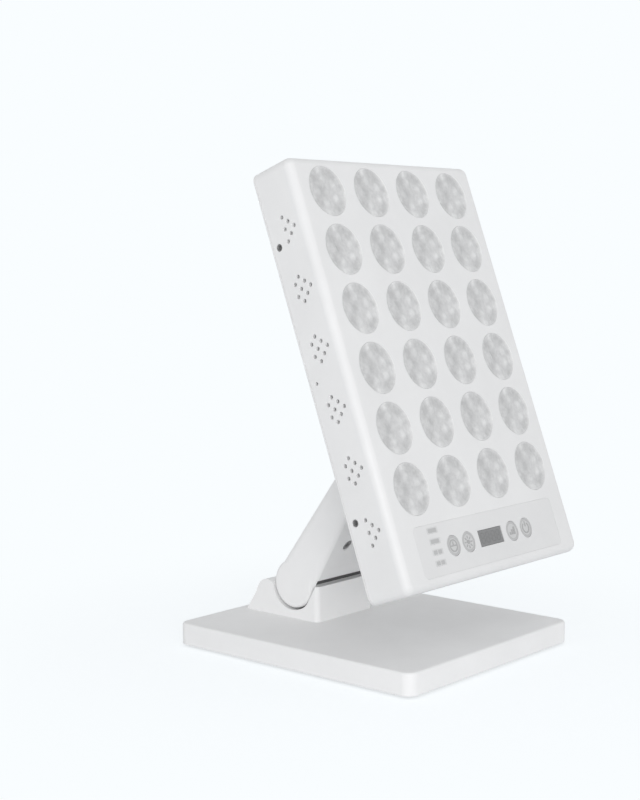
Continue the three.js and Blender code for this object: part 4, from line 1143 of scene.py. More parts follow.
@dataclass
class Arm(SubAssembly):
    """The leaning arm, its front cover with two screws, and the lower hinge's pin."""

    width: float = 68.0
    root: float = 18.4
    head: float = 10.0
    barrel: float = 19.2
    wall: float = 3.0
    root_solid: float = 28.0
    head_solid: float = 17.0
    cover: float = 4.0
    screw_height: float = 49.0
    screw_spacing: float = 28.0
    screw_head: float = 4.4
    screw_thickness: float = 1.8
    screw_edge: float = 0.5
    screw_sink: float = 0.6
    screw_shank: float = 1.9
    screw_length: float = 9.0
    socket_floor: float = 0.7
    seat_room: float = 0.1
    seat_depth: float = 2.6
    boss: float = 4.4
    boss_set_back: float = 0.8
    bore: float = 2.2
    bore_depth: float = 10.0
    pin: float = 5.0
    pin_inset: float = 6.0
    pin_lead: float = 0.6
    pin_chamfer: float = 0.8
    bolt: float = 4.0
    lug_reach: float = 10.6
    cheek: float = 10.6
    swing_ahead: float = radians(6)
    swing_back: float = radians(48)
    side_round: float = 4.0
    side_inset: float = 7.0
    barrel_round: float = 3.0
    seam: float = 0.04
    recess_low: float = 11.6
    recess_height: float = 5.6
    recess_depth: float = 12.0
    # Depth of the dark painted-shade block in the recess, and its gap to the recess's walls.
    shade_seal_depth: float = 9.7
    shade_seal_gap: float = 0.1

    def build(self) -> None:
        """Makes every piece of the arm."""
        self._shell()
        self._painted_shade_seal()
        self._cover_plate()
        self._screws()
        self._pin()

    @property
    def taper(self) -> float:
        """The lean of the arm's faces against its middle line."""
        return asin((self.root - self.head) / self.rig.arm_length)

    def _half(self, z: float, inset: float = 0.0) -> float:
        """How far a face lies from the middle line at a height."""
        return (self.root - inset) / cos(self.taper) - z * tan(self.taper)

    def _opening(self, seam: float, back: Callable[[float], float]) -> Solid:
        """The opening for the cover in the arm's front, drawn in on all sides.

        Args:
            seam: How far it is drawn in.
            back: Says where its back lies at a height.

        Returns:
            Its room, out past the arm's front face.
        """
        low, high = self.root_solid + seam, self.rig.arm_length - self.head_solid - seam
        half = self.width / 2 - self.wall - seam
        return Solid.prism(Axis.X, [
            (-self._half(low) - OVERRUN, low), (back(low), low), (back(high), high),
            (-self._half(high) - OVERRUN, high)], -half, half)

    def _at_screws(self, piece: Solid) -> Solid:
        """A piece that is drawn on the arm's middle line, at both cover screws."""
        return Solid.together([piece.moved(Matrix.Translation((side * self.screw_spacing / 2, 0, 0)))
            for side in BOTH_SIDES])

    def _lug_room(self) -> Solid:
        """The room that the foot's lug needs while the arm turns."""
        down = 1.5 * pi - self.rig.arm_lean
        spread = ((down - self.swing_ahead, -QUARTER_TURN), (down + self.swing_back, QUARTER_TURN))
        ends = []
        for toward, turn in spread:
            near = (self.lug_reach * cos(toward + turn), self.lug_reach * sin(toward + turn))
            ends.append((near, (near[0] + 2 * self.barrel * cos(toward),
                                near[1] + 2 * self.barrel * sin(toward))))
        outline = [ends[0][0], ends[0][1], ends[1][1], ends[1][0]]
        room = Solid.prism(Axis.X, outline, -self.cheek, self.cheek)
        return room.plus(Solid.cylinder(Axis.X, 0, 0, self.lug_reach, -self.cheek, self.cheek))

    def _blank(self) -> Solid:
        """The arm's outside between its two round ends, with softly rounded side edges."""
        half, taper, length = self.width / 2, self.taper, self.rig.arm_length
        side = []
        for turn in quarter(8):
            inset = self.side_inset * (1 - sin(turn))
            outline = [*arc(0, length, self.head - inset, taper, HALF_TURN - taper, 24),
                       *arc(0, 0, self.root - inset, HALF_TURN - taper, FULL_TURN + taper, 40)]
            side.append((half - self.side_round * (1 - cos(turn)), outline))
        return Solid.loft(Axis.X, [*[(-at, line) for at, line in side],
                                   *[(at, line) for at, line in reversed(side)]])

    def _shell(self) -> None:
        """Makes the arm's body with the barrel, the pocket, the recess and the hinge bores."""
        half, length = self.width / 2, self.rig.arm_length
        barrel = Solid.cylinder(Axis.X, 0, 0, self.barrel, -half, half, 96, edge=self.barrel_round)
        pocket = self._opening(0, lambda z: self._half(z, self.wall))
        pin = Solid.cylinder(Axis.X, 0, 0, self.pin + self.rig.gap,
                             self.pin_inset - self.rig.gap - half, half + OVERRUN)
        bolt = Solid.cylinder(Axis.X, 0, length, self.bolt + self.rig.gap, -half - OVERRUN,
                              half + OVERRUN)
        recess = Solid.block(self.wall - half, half - self.wall, -self.barrel - OVERRUN,
                             self.recess_depth - self.root, self.recess_low,
                             self.recess_low + self.recess_height)
        shell = self._blank().plus(barrel).minus(pocket, pin, bolt, self._lug_room(), recess)
        rear = self._half(self.screw_height, self.wall)
        front = -self._half(self.screw_height, self.cover) + self.boss_set_back
        boss = Solid.cylinder(Axis.Y, 0, self.screw_height, self.boss, front, rear + WELD, 32)
        bore = Solid.cylinder(Axis.Y, 0, self.screw_height, self.bore, front - OVERRUN,
                              front + self.bore_depth, 24)
        shell = shell.plus(self._at_screws(boss)).minus(self._at_screws(bore))
        self.bench.piece("arm_body_shell", shell, self.rig.arm, STAND_SHELL, "arm",
                         "white_shell", ["arm_shell"])

    def _painted_shade_seal(self) -> None:
        """Makes the dark block inside the recess above the foot: painted shade that makes the recess
        read as a deep, dark gap.
        """
        gap, low = self.shade_seal_gap, self.recess_low
        half, deep = self.width / 2 - self.wall - gap, self.recess_depth - self.root
        shade_seal = Solid.block(-half, half, deep - self.shade_seal_depth, deep - gap, low + gap,
                           low + self.recess_height - gap)
        self.bench.piece("recess_seal", shade_seal, self.rig.arm, PAINTED_SHADE_SEAL, "arm", "black_plastic")

    def _cover_plate(self) -> None:
        """Makes the cover in the arm's front face, with two sunk screw holes."""
        plate = self._opening(self.seam, lambda z: -self._half(z, self.cover))
        plate = plate.within(self._blank())
        face = -self._half(self.screw_height)
        seat = rounded_bore(Axis.Y, 0, self.screw_height, self.screw_head + self.seat_room,
                            self.screw_edge, face, face + self.seat_depth, OVERRUN)
        hole = Solid.cylinder(Axis.Y, 0, self.screw_height, self.bore, face - OVERRUN,
                              face + self.cover + OVERRUN, 24)
        plate = plate.minus(self._at_screws(seat), self._at_screws(hole))
        self.bench.piece("arm_cover_plate", plate, self.rig.arm, STAND_SHELL, "arm",
                         "white_shell", ["arm_cover"])

    def _screws(self) -> None:
        """Makes the two socket screws of the cover."""
        thick = self.screw_thickness
        seat = -self._half(self.screw_height) + self.screw_sink + thick
        head = Solid.cylinder(Axis.Z, 0, 0, self.screw_head, 0, thick, 40, edge=self.screw_edge)
        socket = Solid.prism(Axis.Z, circle(0, 0, self.screw_head / 2, 6), self.socket_floor,
                             thick + OVERRUN)
        shank = Solid.cylinder(Axis.Z, 0, 0, self.screw_shank, -self.screw_length, WELD, 24)
        screw = head.minus(socket).plus(shank)
        places = [Vector((side * self.screw_spacing / 2, seat, self.screw_height))
                  for side in BOTH_SIDES]
        solid = self.bench.repeat.scattered(screw, places, facing=(QUARTER_TURN, 0, 0),
                                            spin=QUARTER_TURN, seed=5)
        self.bench.piece("arm_cover_screws", solid, self.rig.arm, SOCKET_SCREW, "arm", "steel",
                         ["arm_cover_screw_left", "arm_cover_screw_right"])

    def _pin(self) -> None:
        """Makes the lower hinge's pin with its chamfered, centre-drilled end."""
        start, end = self.pin_inset - self.width / 2, self.width / 2 - self.rig.gap
        radius, lead, edge = self.pin, self.pin_lead, self.pin_chamfer
        pin = Solid.turned(Axis.X, 0, 0, [
            (start, radius - lead), (start + lead, radius), (end - edge, radius),
            (end, radius - edge), (end, 2 * edge), (end - 1.5 * edge, 0)])
        self.bench.piece("lean_pin_turned", pin, self.rig.foot, STEEL, "arm", "steel", ["lean_pin"])


@dataclass
class TiltHinge(SubAssembly):
    """The bracket on the lamp head's back with the bolt, nut and washers of the upper hinge."""

    thickness: float = 3.0
    height: float = 50.0
    arm_width: float = 68.0
    washer: float = 1.0
    ear_root: float = 20.0
    ear_head: float = 10.0
    bolt: float = 4.0
    bolt_head: float = 7.5
    head_length: float = 5.5
    nut_length: float = 6.5
    thread_end: float = 1.6
    thread_depth: float = 0.35
    thread_step: float = 0.4
    thread_steps: int = 6
    sheet_edge: float = 0.7
    screw_x: float = 25.6
    screw_z: float = 17.0
    screw_bore: float = 2.2

    @property
    def inner(self) -> float:
        """The inner face of an ear."""
        return self.arm_width / 2 + 2 * self.rig.gap + self.washer

    @property
    def outer(self) -> float:
        """The outer face of an ear."""
        return self.inner + self.thickness

    @property
    def back(self) -> float:
        """The back of the bracket's plate."""
        return self.rig.gap - self.rig.standoff + self.thickness

    def build(self) -> None:
        """Makes every piece of the upper hinge."""
        self._bracket()
        self._bolt()
        self._nut()
        self._screws()
        self.bench.dress(["tilt_washer_left", "tilt_washer_right"], STEEL)

    def _bracket(self) -> None:
        """Makes the bent sheet bracket with its two ears."""
        front, back = self.back - self.thickness, self.back
        high, root = self.height / 2, self.ear_root
        plate = Solid.block(-self.outer, self.outer, front, back, -high, high)
        ear = [(back - WELD, root), (back - WELD, -root), (back, -root),
               *arc(0, 0, self.ear_head, -QUARTER_TURN, QUARTER_TURN, 24), (back, root)]
        ears = [Solid.prism(Axis.X, ear, min(side * self.inner, side * self.outer),
                            max(side * self.inner, side * self.outer)) for side in BOTH_SIDES]
        body = plate.plus(*ears).softened(self.sheet_edge)
        holes = Solid.together([
            Solid.cylinder(Axis.Y, x, z, self.screw_bore, front - OVERRUN, back + OVERRUN, 24)
            for x, z in corners(self.screw_x, self.screw_z)])
        bore = Solid.cylinder(Axis.X, 0, 0, self.bolt + self.rig.gap, -self.outer - OVERRUN,
                              self.outer + OVERRUN)
        self.bench.piece("tilt_bracket_bent", body.minus(holes, bore), self.rig.head, SHEET,
                         "panel", "white_sheet", ["tilt_bracket"])

    def _bolt(self) -> None:
        """Makes the hinge bolt with the thread that stands out of the nut."""
        seat = self.outer + self.rig.gap
        head = hex_piece(self.bolt_head, -seat - self.head_length, -seat)
        end = seat + self.nut_length + self.thread_end
        step, deep = self.thread_step, self.thread_depth
        first = end - self.thread_end - 2.5 * step
        threads = [(first + step * i, self.bolt - deep * (i % 2)) for i in range(self.thread_steps)]
        shank = Solid.turned(Axis.X, 0, 0, [
            (-seat - WELD, self.bolt), *threads, (end - step, self.bolt - step / 2),
            (end, self.bolt - 2 * step)])
        self.bench.piece("tilt_bolt_turned", head.plus(shank), self.rig.head, STEEL, "panel",
                         "steel", ["tilt_bolt"])

    def _nut(self) -> None:
        """Makes the hinge nut."""
        start = self.outer + self.rig.gap
        bore = Solid.cylinder(Axis.X, 0, 0, self.bolt + self.rig.gap, start - OVERRUN,
                              start + self.nut_length + OVERRUN)
        nut = hex_piece(self.bolt_head, start, start + self.nut_length).minus(bore)
        self.bench.piece("tilt_nut_turned", nut, self.rig.head, STEEL, "panel", "steel", ["tilt_nut"])

    def _screws(self) -> None:
        """Makes the four screws that hold the bracket to the rear cover."""
        places = [Vector((x, self.back + SCREW_LIFT, z))
                  for x, z in corners(self.screw_x, self.screw_z)]
        solid = self.bench.repeat.scattered(BRACKET_SCREW.solid(), places, (-QUARTER_TURN, 0, 0),
                                            QUARTER_TURN, 7)
        self.bench.piece("bracket_screws", solid, self.rig.head, STEEL, "panel", "steel")


@dataclass
class LampHead(SubAssembly):
    """The lamp head: housing, lenses, board, heat sink, supply and rear cover."""

    wall: float = 2.5
    corner: float = 7.0
    edge: float = 6.5
    sheet_edge: float = 0.5
    columns: int = 4
    rows: int = 6
    lens_hole: float = 19.0
    lens_rim: float = 0.4
    pitch_x: float = 50.0
    pitch_z: float = 44.2
    top_margin: float = 6.8
    lens_recess: float = 0.9
    lens_thickness: float = 3.0
    lens_rings: int = 28
    lens_spokes: int = 120
    # Lens pattern: the domes, beads and rim notches are relief and also carry painted highlights. The
    # painted shades are patches of painted shade, each given as turn, distance, size and strength.
    dome_ring: float = 10.0
    dome_size: float = 5.0
    dome_turns: Shares = (28, 102, 178, 250, 328)
    dome_highlight_shares: Shares = (0.85, 0.8, 0.35, 0.85, 1.15)
    bead_ring: float = 16.4
    bead_size: float = 2.4
    bead_spread: float = 20.0
    notches: tuple[Pair, ...] = ((104, 1.0), (257, 1.0), (352, 0.6), (162, 0.35), (198, 0.35))
    painted_shades: tuple[Shares, ...] = (
        (176, 6.0, 7.5, 0.9), (52, 15.5, 8.0, 0.8), (74, 15.5, 7.0, 0.8), (300, 15.5, 7.5, 0.9),
        (318, 15.5, 7.0, 0.9), (136, 14.5, 8.0, 0.8), (216, 14.5, 8.0, 0.8), (8, 16.0, 4.5, 0.6))
    vent_radius: float = 1.5
    vent_rim: float = 0.35
    vent_pitch: float = 4.5
    vent_depth: float = 11.3
    screen_half: Shares = (0.25, 9.0, 12.0)
    screen_set_back: float = 0.9
    side_hole: float = 2.7
    small_hole: float = 1.2
    side_rim: float = 0.3
    side_span: float = 201.7
    side_setback: float = 7.2
    insert_gap: float = 0.15
    insert_wall: float = 0.6
    insert_edge: float = 0.2
    insert_length: float = 8.0
    insert_sink: float = 0.6
    insert_tip: Pair = (2.7, 0.6)
    strip_z: float = -132.9
    strip_width: float = 174.0
    strip_height: float = 36.8
    strip_corner: float = 4.0
    post_radius: float = 3.5
    post_bore: float = 1.6
    grille_z: float = 65.0
    grille_radius: float = 36.5
    grille_slots: int = 9
    grille_width: float = 4.0
    grille_corner: float = 1.9
    supply_x: float = -34.75
    supply_slots: int = 8
    supply_pitch: float = 9.0
    supply_slot: Shares = (3.0, 24.0, 1.45)
    windows: tuple[Shares, ...] = ((75.25, 27.0, 20.0), (40.25, 19.0, 14.6))
    window_z: float = -132.5
    window_corner: float = 0.8
    bracket_x: float = 25.6
    bracket_z: float = 17.0
    bracket_bore: float = 2.2
    seam: float = 0.05

    @property
    def first_row(self) -> float:
        """The height of the top row of lenses."""
        return self.rig.panel_height / 2 - self.top_margin - self.lens_hole

    def build(self) -> None:
        """Makes every piece of the lamp head but the fan, the control strip and the fittings."""
        self._housing()
        self._lenses()
        self._side_inserts()
        self._vent_screens()
        self._rear_cover()
        self._rear_screws()
        self.bench.dress(["led_board"], BOARD)
        self.bench.dress(["heat_sink"], ALUMINIUM)
        self.bench.dress(["power_supply"], CASE)

    def _plan(self, inset: float) -> Outline:
        """The lamp head's outline, drawn in on all sides."""
        return rounded_rectangle(0, 0, self.rig.panel_width - 2 * inset,
                                 self.rig.panel_height - 2 * inset, self.corner - inset, 12)

    def _blank(self, wall: float, depth: float) -> Solid:
        """The lamp head's outside, or its inside where a wall is given."""
        bend = [(wall + along, self._plan(wall + inset))
                for along, inset in rounding(self.edge - wall, 8)]
        return Solid.loft(Axis.Y, [*bend, (depth, self._plan(wall))])

    def _lens_places(self) -> list[Vector]:
        """The middle of each lens hole in the front face."""
        return [Vector(((column - (self.columns - 1) / 2) * self.pitch_x, 0,
                        self.first_row - row * self.pitch_z))
                for row in range(self.rows) for column in range(self.columns)]

    def _vent_places(self) -> list[Vector]:
        """Depth and height of the vent holes in the sides, as y and z."""
        places = []
        for cluster in range(self.rows):
            middle = self.first_row - (cluster + 0.5) * self.pitch_z
            holes = (1, 2, 3) if cluster in (0, self.rows - 1) else (1, 2, 3, 2)
            for column, count in enumerate(holes):
                for hole in range(count):
                    up = (2 * hole - count + 1) * self.vent_pitch
                    places.append(Vector((0, self.vent_depth + column * self.vent_pitch, middle + up)))
        return places

    def _post_places(self) -> list[Pair]:
        """The posts that take the rear cover's screws."""
        x = self.rig.panel_width / 2 - self.wall - self.post_radius + WELD
        z = self.rig.panel_height / 2 - self.wall - self.post_radius
        last = self.first_row - (self.rows - 1) * self.pitch_z
        heights = (z, self.first_row - self.pitch_z, last + self.pitch_z, -z)
        return [(side * x, height) for side in BOTH_SIDES for height in heights]

    def _through_hole(self, radius: float, flare: float, y: float, z: float, sides: int) -> Solid:
        """A cutter through both sides of the head, with rounded rims."""
        half = self.rig.panel_width / 2
        rim = [(along, radius + outward) for along, outward in rounding(flare, 3)]
        profile = [(-half - OVERRUN, radius + flare), *[(-half + at, r) for at, r in rim],
                   *[(half - at, r) for at, r in reversed(rim)], (half + OVERRUN, radius + flare)]
        return Solid.turned(Axis.X, y, z, profile, sides)

    def _housing(self) -> None:
        """Makes the moulded front housing with its lens holes, vents and strip opening."""
        depth, through = self.rig.housing_depth, self.wall + OVERRUN
        shell = self._blank(0, depth).minus(self._blank(self.wall, depth + OVERRUN))
        gap = self.seam
        opening = rounded_rectangle(0, self.strip_z, self.strip_width + 2 * gap,
                                    self.strip_height + 2 * gap, self.strip_corner + gap, 10)
        shell = shell.minus(Solid.prism(Axis.Y, opening, -OVERRUN, through))
        hole = rounded_bore(Axis.Y, 0, 0, self.lens_hole, self.lens_rim, 0, through, OVERRUN, 96)
        repeat = self.bench.repeat
        shell = repeat.perforated(shell, hole, self._lens_places())
        vent = self._through_hole(self.vent_radius, self.vent_rim, 0, 0, 16)
        shell = repeat.perforated(shell, vent, self._vent_places())
        back, up, rim = self.rig.panel_depth - self.side_setback, self.side_span / 2, self.side_rim
        shell = shell.minus(self._through_hole(self.side_hole, rim, back, up, 32),
                            self._through_hole(self.side_hole, rim, back, -up, 32),
                            self._through_hole(self.small_hole, rim, back, 0, 16))
        posts = [Solid.cylinder(Axis.Y, x, z, self.post_radius, self.edge, depth - gap, 24)
                 for x, z in self._post_places()]
        self.bench.piece("front_housing_shell", shell.plus(*posts), self.rig.lamp, SHELL, "panel",
                         "white_shell", ["front_housing"])

    def _lens(self) -> Solid:
        """One lens round its own middle: five large domes, a ring of small ones and rim notches.

        Returns:
            The lens, whose points carry painted light from 0, painted shade, to 1, painted highlight.
        """
        radius, rings, spokes = self.lens_hole - self.seam, self.lens_rings, self.lens_spokes
        step = FULL_TURN / len(self.dome_turns)
        painted_light_side = radians(-30)
        big = [(self.dome_ring, radians(turn), self.dome_size) for turn in self.dome_turns]
        small = [(self.bead_ring, step * (i + 0.75) + radians(self.bead_spread * j),
                  self.bead_size) for i in range(len(self.dome_turns)) for j in (-1, 0, 1)]

        def dome(x: float, z: float, at: float, turn: float, size: float) -> float:
            """The height share of a dome at a point, from 0 at its foot to 1 on its top."""
            away = hypot(x - at * cos(turn), z - at * sin(turn)) / size
            return 0.5 + 0.5 * cos(HALF_TURN * min(1.0, away))

        def ease(value: float, start: float, end: float) -> float:
            """How far a value has come from start to end, slow at both."""
            share = min(1.0, max(0.0, (value - start) / (end - start)))
            return share * share * (3 - 2 * share)

        def relief(distance: float, turn: float) -> Pair:
            """Depth behind the lens's front plane and painted light at a point."""
            x, z = distance * cos(turn), distance * sin(turn)
            large = [dome(x, z, *place) for place in big]
            painted_highlight = sum(share * bright for share, bright in zip(large, self.dome_highlight_shares))
            little = max(dome(x, z, *place) for place in small)
            centre = dome(x, z, 0, 0, 4.5)
            notch = 0.0
            for middle, strength in self.notches:
                off = (turn - radians(middle) + HALF_TURN) % FULL_TURN - HALF_TURN
                notch += strength * exp(-(distance * off / 2.8) ** 2)
            notch *= ease(distance, 12.5, 16.0)
            rim = ease(distance, 16.8, radius)
            depth = 0.1 - 0.75 * max(large) - 0.35 * little - 0.3 * centre - 0.35 * notch
            depth = depth * (1 - rim) - 0.72 * rim
            painted_shade = max(share * dome(x, z, at, radians(angle), size)
                       for angle, at, size, share in self.painted_shades)
            # Painted light: one side painted lighter, patches of painted shade, painted highlights on
            # the domes, beads, middle and notches, and lighter towards the rim.
            painted_light = 0.36 + 0.08 * cos(turn - painted_light_side) * min(1.0, distance / 9) - 0.34 * painted_shade
            painted_light += 0.34 * painted_highlight + 0.14 * little + 0.06 * centre + 0.4 * notch
            painted_light += 0.26 * ease(distance, 17.2, radius)
            return depth, min(1.0, max(0.0, painted_light))

        points, painted_lights = [], []
        for ring in range(1, rings + 1):
            distance = (radius - 0.1) * ring / rings
            for spoke in range(spokes):
                turn = FULL_TURN * spoke / spokes
                depth, painted_light = relief(distance, turn)
                points.append(Vector((distance * cos(turn), depth, distance * sin(turn))))
                painted_lights.append(painted_light)
        for distance, depth in ((radius, -0.6), (radius, self.lens_thickness)):
            for a, b in circle(0, 0, distance, spokes):
                points.append(Vector((a, depth, b)))
                painted_lights.append(0.5)
        hub = len(points)
        depth, painted_light = relief(0, 0)
        points.append(Vector((0, depth, 0)))
        painted_lights.append(painted_light)
        faces = [[hub, i, (i + 1) % spokes] for i in range(spokes)]
        for ring in range(rings + 1):
            for i in range(spokes):
                low, after = ring * spokes, (i + 1) % spokes
                faces.append([low + i, low + spokes + i, low + spokes + after, low + after])
        last = (rings + 1) * spokes
        faces.append([last + i for i in range(spokes)])
        made = Solid.of_faces(points, faces)
        layer = made.mesh.attributes.new("painted_light", "FLOAT", "POINT")
        layer.data.foreach_set("value", painted_lights)
        return made

    def _lenses(self) -> None:
        """Makes the grid of lenses."""
        places = [place + Vector((0, self.lens_recess, 0)) for place in self._lens_places()]
        names = ["lens_%d_%d" % (row + 1, column + 1) for row in range(self.rows)
                 for column in range(self.columns)]
        solid = self.bench.repeat.scattered(self._lens(), places)
        self.bench.piece("lens_array", solid, self.rig.lamp, LENS, "panel", "lens", names, 50)

    def _side_inserts(self) -> None:
        """Makes the threaded inserts in the four large side holes."""
        outer = self.side_hole - self.insert_gap
        inner, edge, end = outer - self.insert_wall, self.insert_edge, self.insert_length
        thread = [(2 * edge * i, inner - edge * (i % 2)) for i in range(7)]
        insert = Solid.turned(Axis.Z, 0, 0, [
            (0, outer - edge), (edge, outer), (end, outer), (end, inner)], 32)
        bore = Solid.turned(Axis.Z, 0, 0, [(-OVERRUN, inner), *thread, self.insert_tip], 24)
        sleeve = insert.minus(bore)
        back = self.rig.panel_depth - self.side_setback
        half = self.rig.panel_width / 2 - self.insert_sink
        solids = []
        for side in BOTH_SIDES:
            places = [Vector((side * half, back, up * self.side_span / 2)) for up in BOTH_SIDES]
            solids.append(self.bench.repeat.scattered(
                sleeve, places, facing=(0, -side * QUARTER_TURN, 0)))
        self.bench.piece("side_inserts", Solid.together(solids), self.rig.lamp, INSERT,
                         "panel", "steel")

    def _vent_screens(self) -> None:
        """Makes the pale dust screens behind the vent holes, one for each cluster."""
        thin, deep, high = self.screen_half
        pad = Solid.block(-thin, thin, -deep, deep, -high, high)
        inside = self.rig.panel_width / 2 - self.wall - self.screen_set_back
        places = [Vector((side * inside, self.vent_depth + 1.5 * self.vent_pitch,
                          self.first_row - (cluster + 0.5) * self.pitch_z))
                  for side in BOTH_SIDES for cluster in range(self.rows)]
        self.bench.piece("vent_screens", self.bench.repeat.scattered(pad, places), self.rig.lamp,
                         SCREEN, "panel", "white_shell")

    def _grille(self) -> list[Outline]:
        """The upright slots of the fan's round grille."""
        reach, wide = self.grille_radius, self.grille_width
        slots = []
        for i in range(self.grille_slots):
            x = (i - (self.grille_slots - 1) / 2) * 2 * reach / self.grille_slots
            half = sqrt(reach ** 2 - (abs(x) + wide / 2) ** 2)
            slots.append(rounded_rectangle(x, self.grille_z, wide, 2 * half, self.grille_corner, 6))
        return slots

    def _rear_cover(self) -> None:
        """Makes the rear cover with its grille, slots, windows and screw holes."""
        front, back = self.rig.housing_depth + self.rig.gap, self.rig.panel_depth

        def through(outline: Outline) -> Solid:
            """A cutter of this outline through the sheet."""
            return Solid.prism(Axis.Y, outline, front - OVERRUN, back + OVERRUN)

        plate = Solid.prism(Axis.Y, self._plan(0), front, back).softened(self.sheet_edge, 3, 60)
        room = 2 * self.rig.gap
        hinge = self.rig.hinge_height - self.rig.panel_height / 2
        outlines = self._grille()
        outlines += [rounded_rectangle(x, self.window_z, width + room, height + room,
                                       self.window_corner, 4) for x, width, height in self.windows]
        outlines += [circle(x, z, self.post_bore, 16) for x, z in self._post_places()]
        outlines += [circle(x, hinge + z, self.bracket_bore, 20)
                     for x, z in corners(self.bracket_x, self.bracket_z)]
        cover = plate.minus(Solid.together(map(through, outlines)))
        width, height, corner = self.supply_slot
        slot = through(rounded_rectangle(0, 0, width, height, corner, 6))
        first = self.supply_x - (self.supply_slots - 1) / 2 * self.supply_pitch
        places = [Vector((first + i * self.supply_pitch, 0, self._supply_middle()))
                  for i in range(self.supply_slots)]
        self.bench.piece("rear_cover_sheet", self.bench.repeat.perforated(cover, slot, places),
                         self.rig.lamp, SHEET, "panel", "white_sheet", ["rear_cover"])

    def _supply_middle(self) -> float:
        """The height of the power supply's middle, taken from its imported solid."""
        low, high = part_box("power_supply")
        into_lamp = (Matrix.Scale(MM, 4) @ self.rig.lamp).inverted()
        return (into_lamp @ ((low + high) / 2)).z

    def _rear_screws(self) -> None:
        """Makes the eight screws of the rear cover."""
        places = [Vector((x, self.rig.panel_depth + SCREW_LIFT, z)) for x, z in self._post_places()]
        solid = self.bench.repeat.scattered(COVER_SCREW.solid(), places, (-QUARTER_TURN, 0, 0),
                                            QUARTER_TURN, 11)
        self.bench.piece("rear_cover_screws", solid, self.rig.lamp, STEEL, "panel", "steel")


@dataclass
class Fan(SubAssembly):
    """The fan behind the grille: its frame with four struts, and its rotor."""

    height: float = 65.0
    size: float = 80.0
    corner: float = 5.0
    depth: float = 10.0
    wall: float = 2.5
    frame_edge: float = 0.6
    plate: float = 1.5
    plate_edge: float = 0.3
    struts: int = 4
    strut_half: float = 2.0
    shaft_hole: float = 1.8
    hub: float = 15.0
    hub_start: float = 1.0
    hub_end: float = 7.5
    hub_edge: float = 0.8
    shaft: float = 1.5
    shaft_end: float = 9.75
    blades: int = 7
    blade_root: float = 14.0
    blade_tip: float = 36.0
    pitch: float = 44.0
    twist: float = 14.0
    chord: float = 8.0
    chord_growth: float = 2.4
    camber: float = 0.7
    half_thickness: float = 0.55

    @property
    def place(self) -> Matrix:
        """The frame of the fan: y runs backwards from the middle of its front."""
        return self.rig.lamp @ Matrix.Translation((0, self.rig.housing_depth - self.depth, self.height))

    def build(self) -> None:
        """Makes the frame and the rotor."""
        self._frame()
        self._rotor()

    def _frame(self) -> None:
        """Makes the frame with the plate that carries the rotor."""
        depth, bore = self.depth, self.size / 2 - self.wall
        square = rounded_rectangle(0, 0, self.size, self.size, self.corner, 8)
        body = Solid.prism(Axis.Y, square, 0, depth).softened(self.frame_edge, 2)
        body = body.minus(Solid.cylinder(Axis.Y, 0, 0, bore, -OVERRUN, depth + OVERRUN, 96))
        plate = Solid.cylinder(Axis.Y, 0, 0, self.hub, depth - self.plate, depth, 64,
                               edge=self.plate_edge)
        half = self.strut_half
        strut = Solid.block(self.hub - half, bore + WELD, -half, half, -depth, self.plate - depth)
        strut = strut.moved(Matrix.Rotation(QUARTER_TURN / 2, 4, "Z"))
        struts = self.bench.repeat.repeated_round(strut, self.struts)
        struts = struts.moved(Matrix.Rotation(QUARTER_TURN, 4, "X"))
        hole = Solid.cylinder(Axis.Y, 0, 0, self.shaft_hole, depth / 2, depth + OVERRUN, 24)
        self.bench.piece("fan_frame_moulded", body.plus(plate, struts).minus(hole), self.place,
                         BLACK, "panel", "black_plastic", ["fan_frame"])

    def _rotor(self) -> None:
        """Makes the hub with its shaft and its curved blades."""
        start, end = self.hub_start, self.hub_end
        hub = Solid.cylinder(Axis.Y, 0, 0, self.hub, start, end, 72, edge=self.hub_edge)
        shaft = Solid.cylinder(Axis.Y, 0, 0, self.shaft, end - WELD, self.shaft_end, 24)
        blades = self.bench.repeat.repeated_round(self._blade(), self.blades)
        blades = blades.moved(Matrix.Translation((0, (start + end) / 2, 0))
                              @ Matrix.Rotation(QUARTER_TURN, 4, "X"))
        self.bench.piece("fan_rotor_moulded", hub.plus(shaft, blades), self.place, BLACK,
                         "fan_rotor", "black_plastic", ["fan_rotor"], 40)

    def _blade(self) -> Solid:
        """One fan blade along x, curved across and twisted along its length."""
        sections = []
        for share in (i / 5 for i in range(6)):
            x = self.blade_root + (self.blade_tip - self.blade_root) * share
            pitch = radians(self.pitch - self.twist * share)
            chord = self.chord + self.chord_growth * share
            upper, lower = [], []
            for along in (j / 8 - 0.5 for j in range(9)):
                bow = 1 - 4 * along * along
                camber, thick = self.camber * bow, self.half_thickness * sqrt(max(0.02, bow))
                upper.append((along * chord, camber + thick))
                lower.append((along * chord, camber - thick))
            c, s = cos(pitch), sin(pitch)
            sections.append((x, [(a * c - b * s, a * s + b * c) for a, b in upper + lower[::-1]]))
        return Solid.loft(Axis.X, sections)


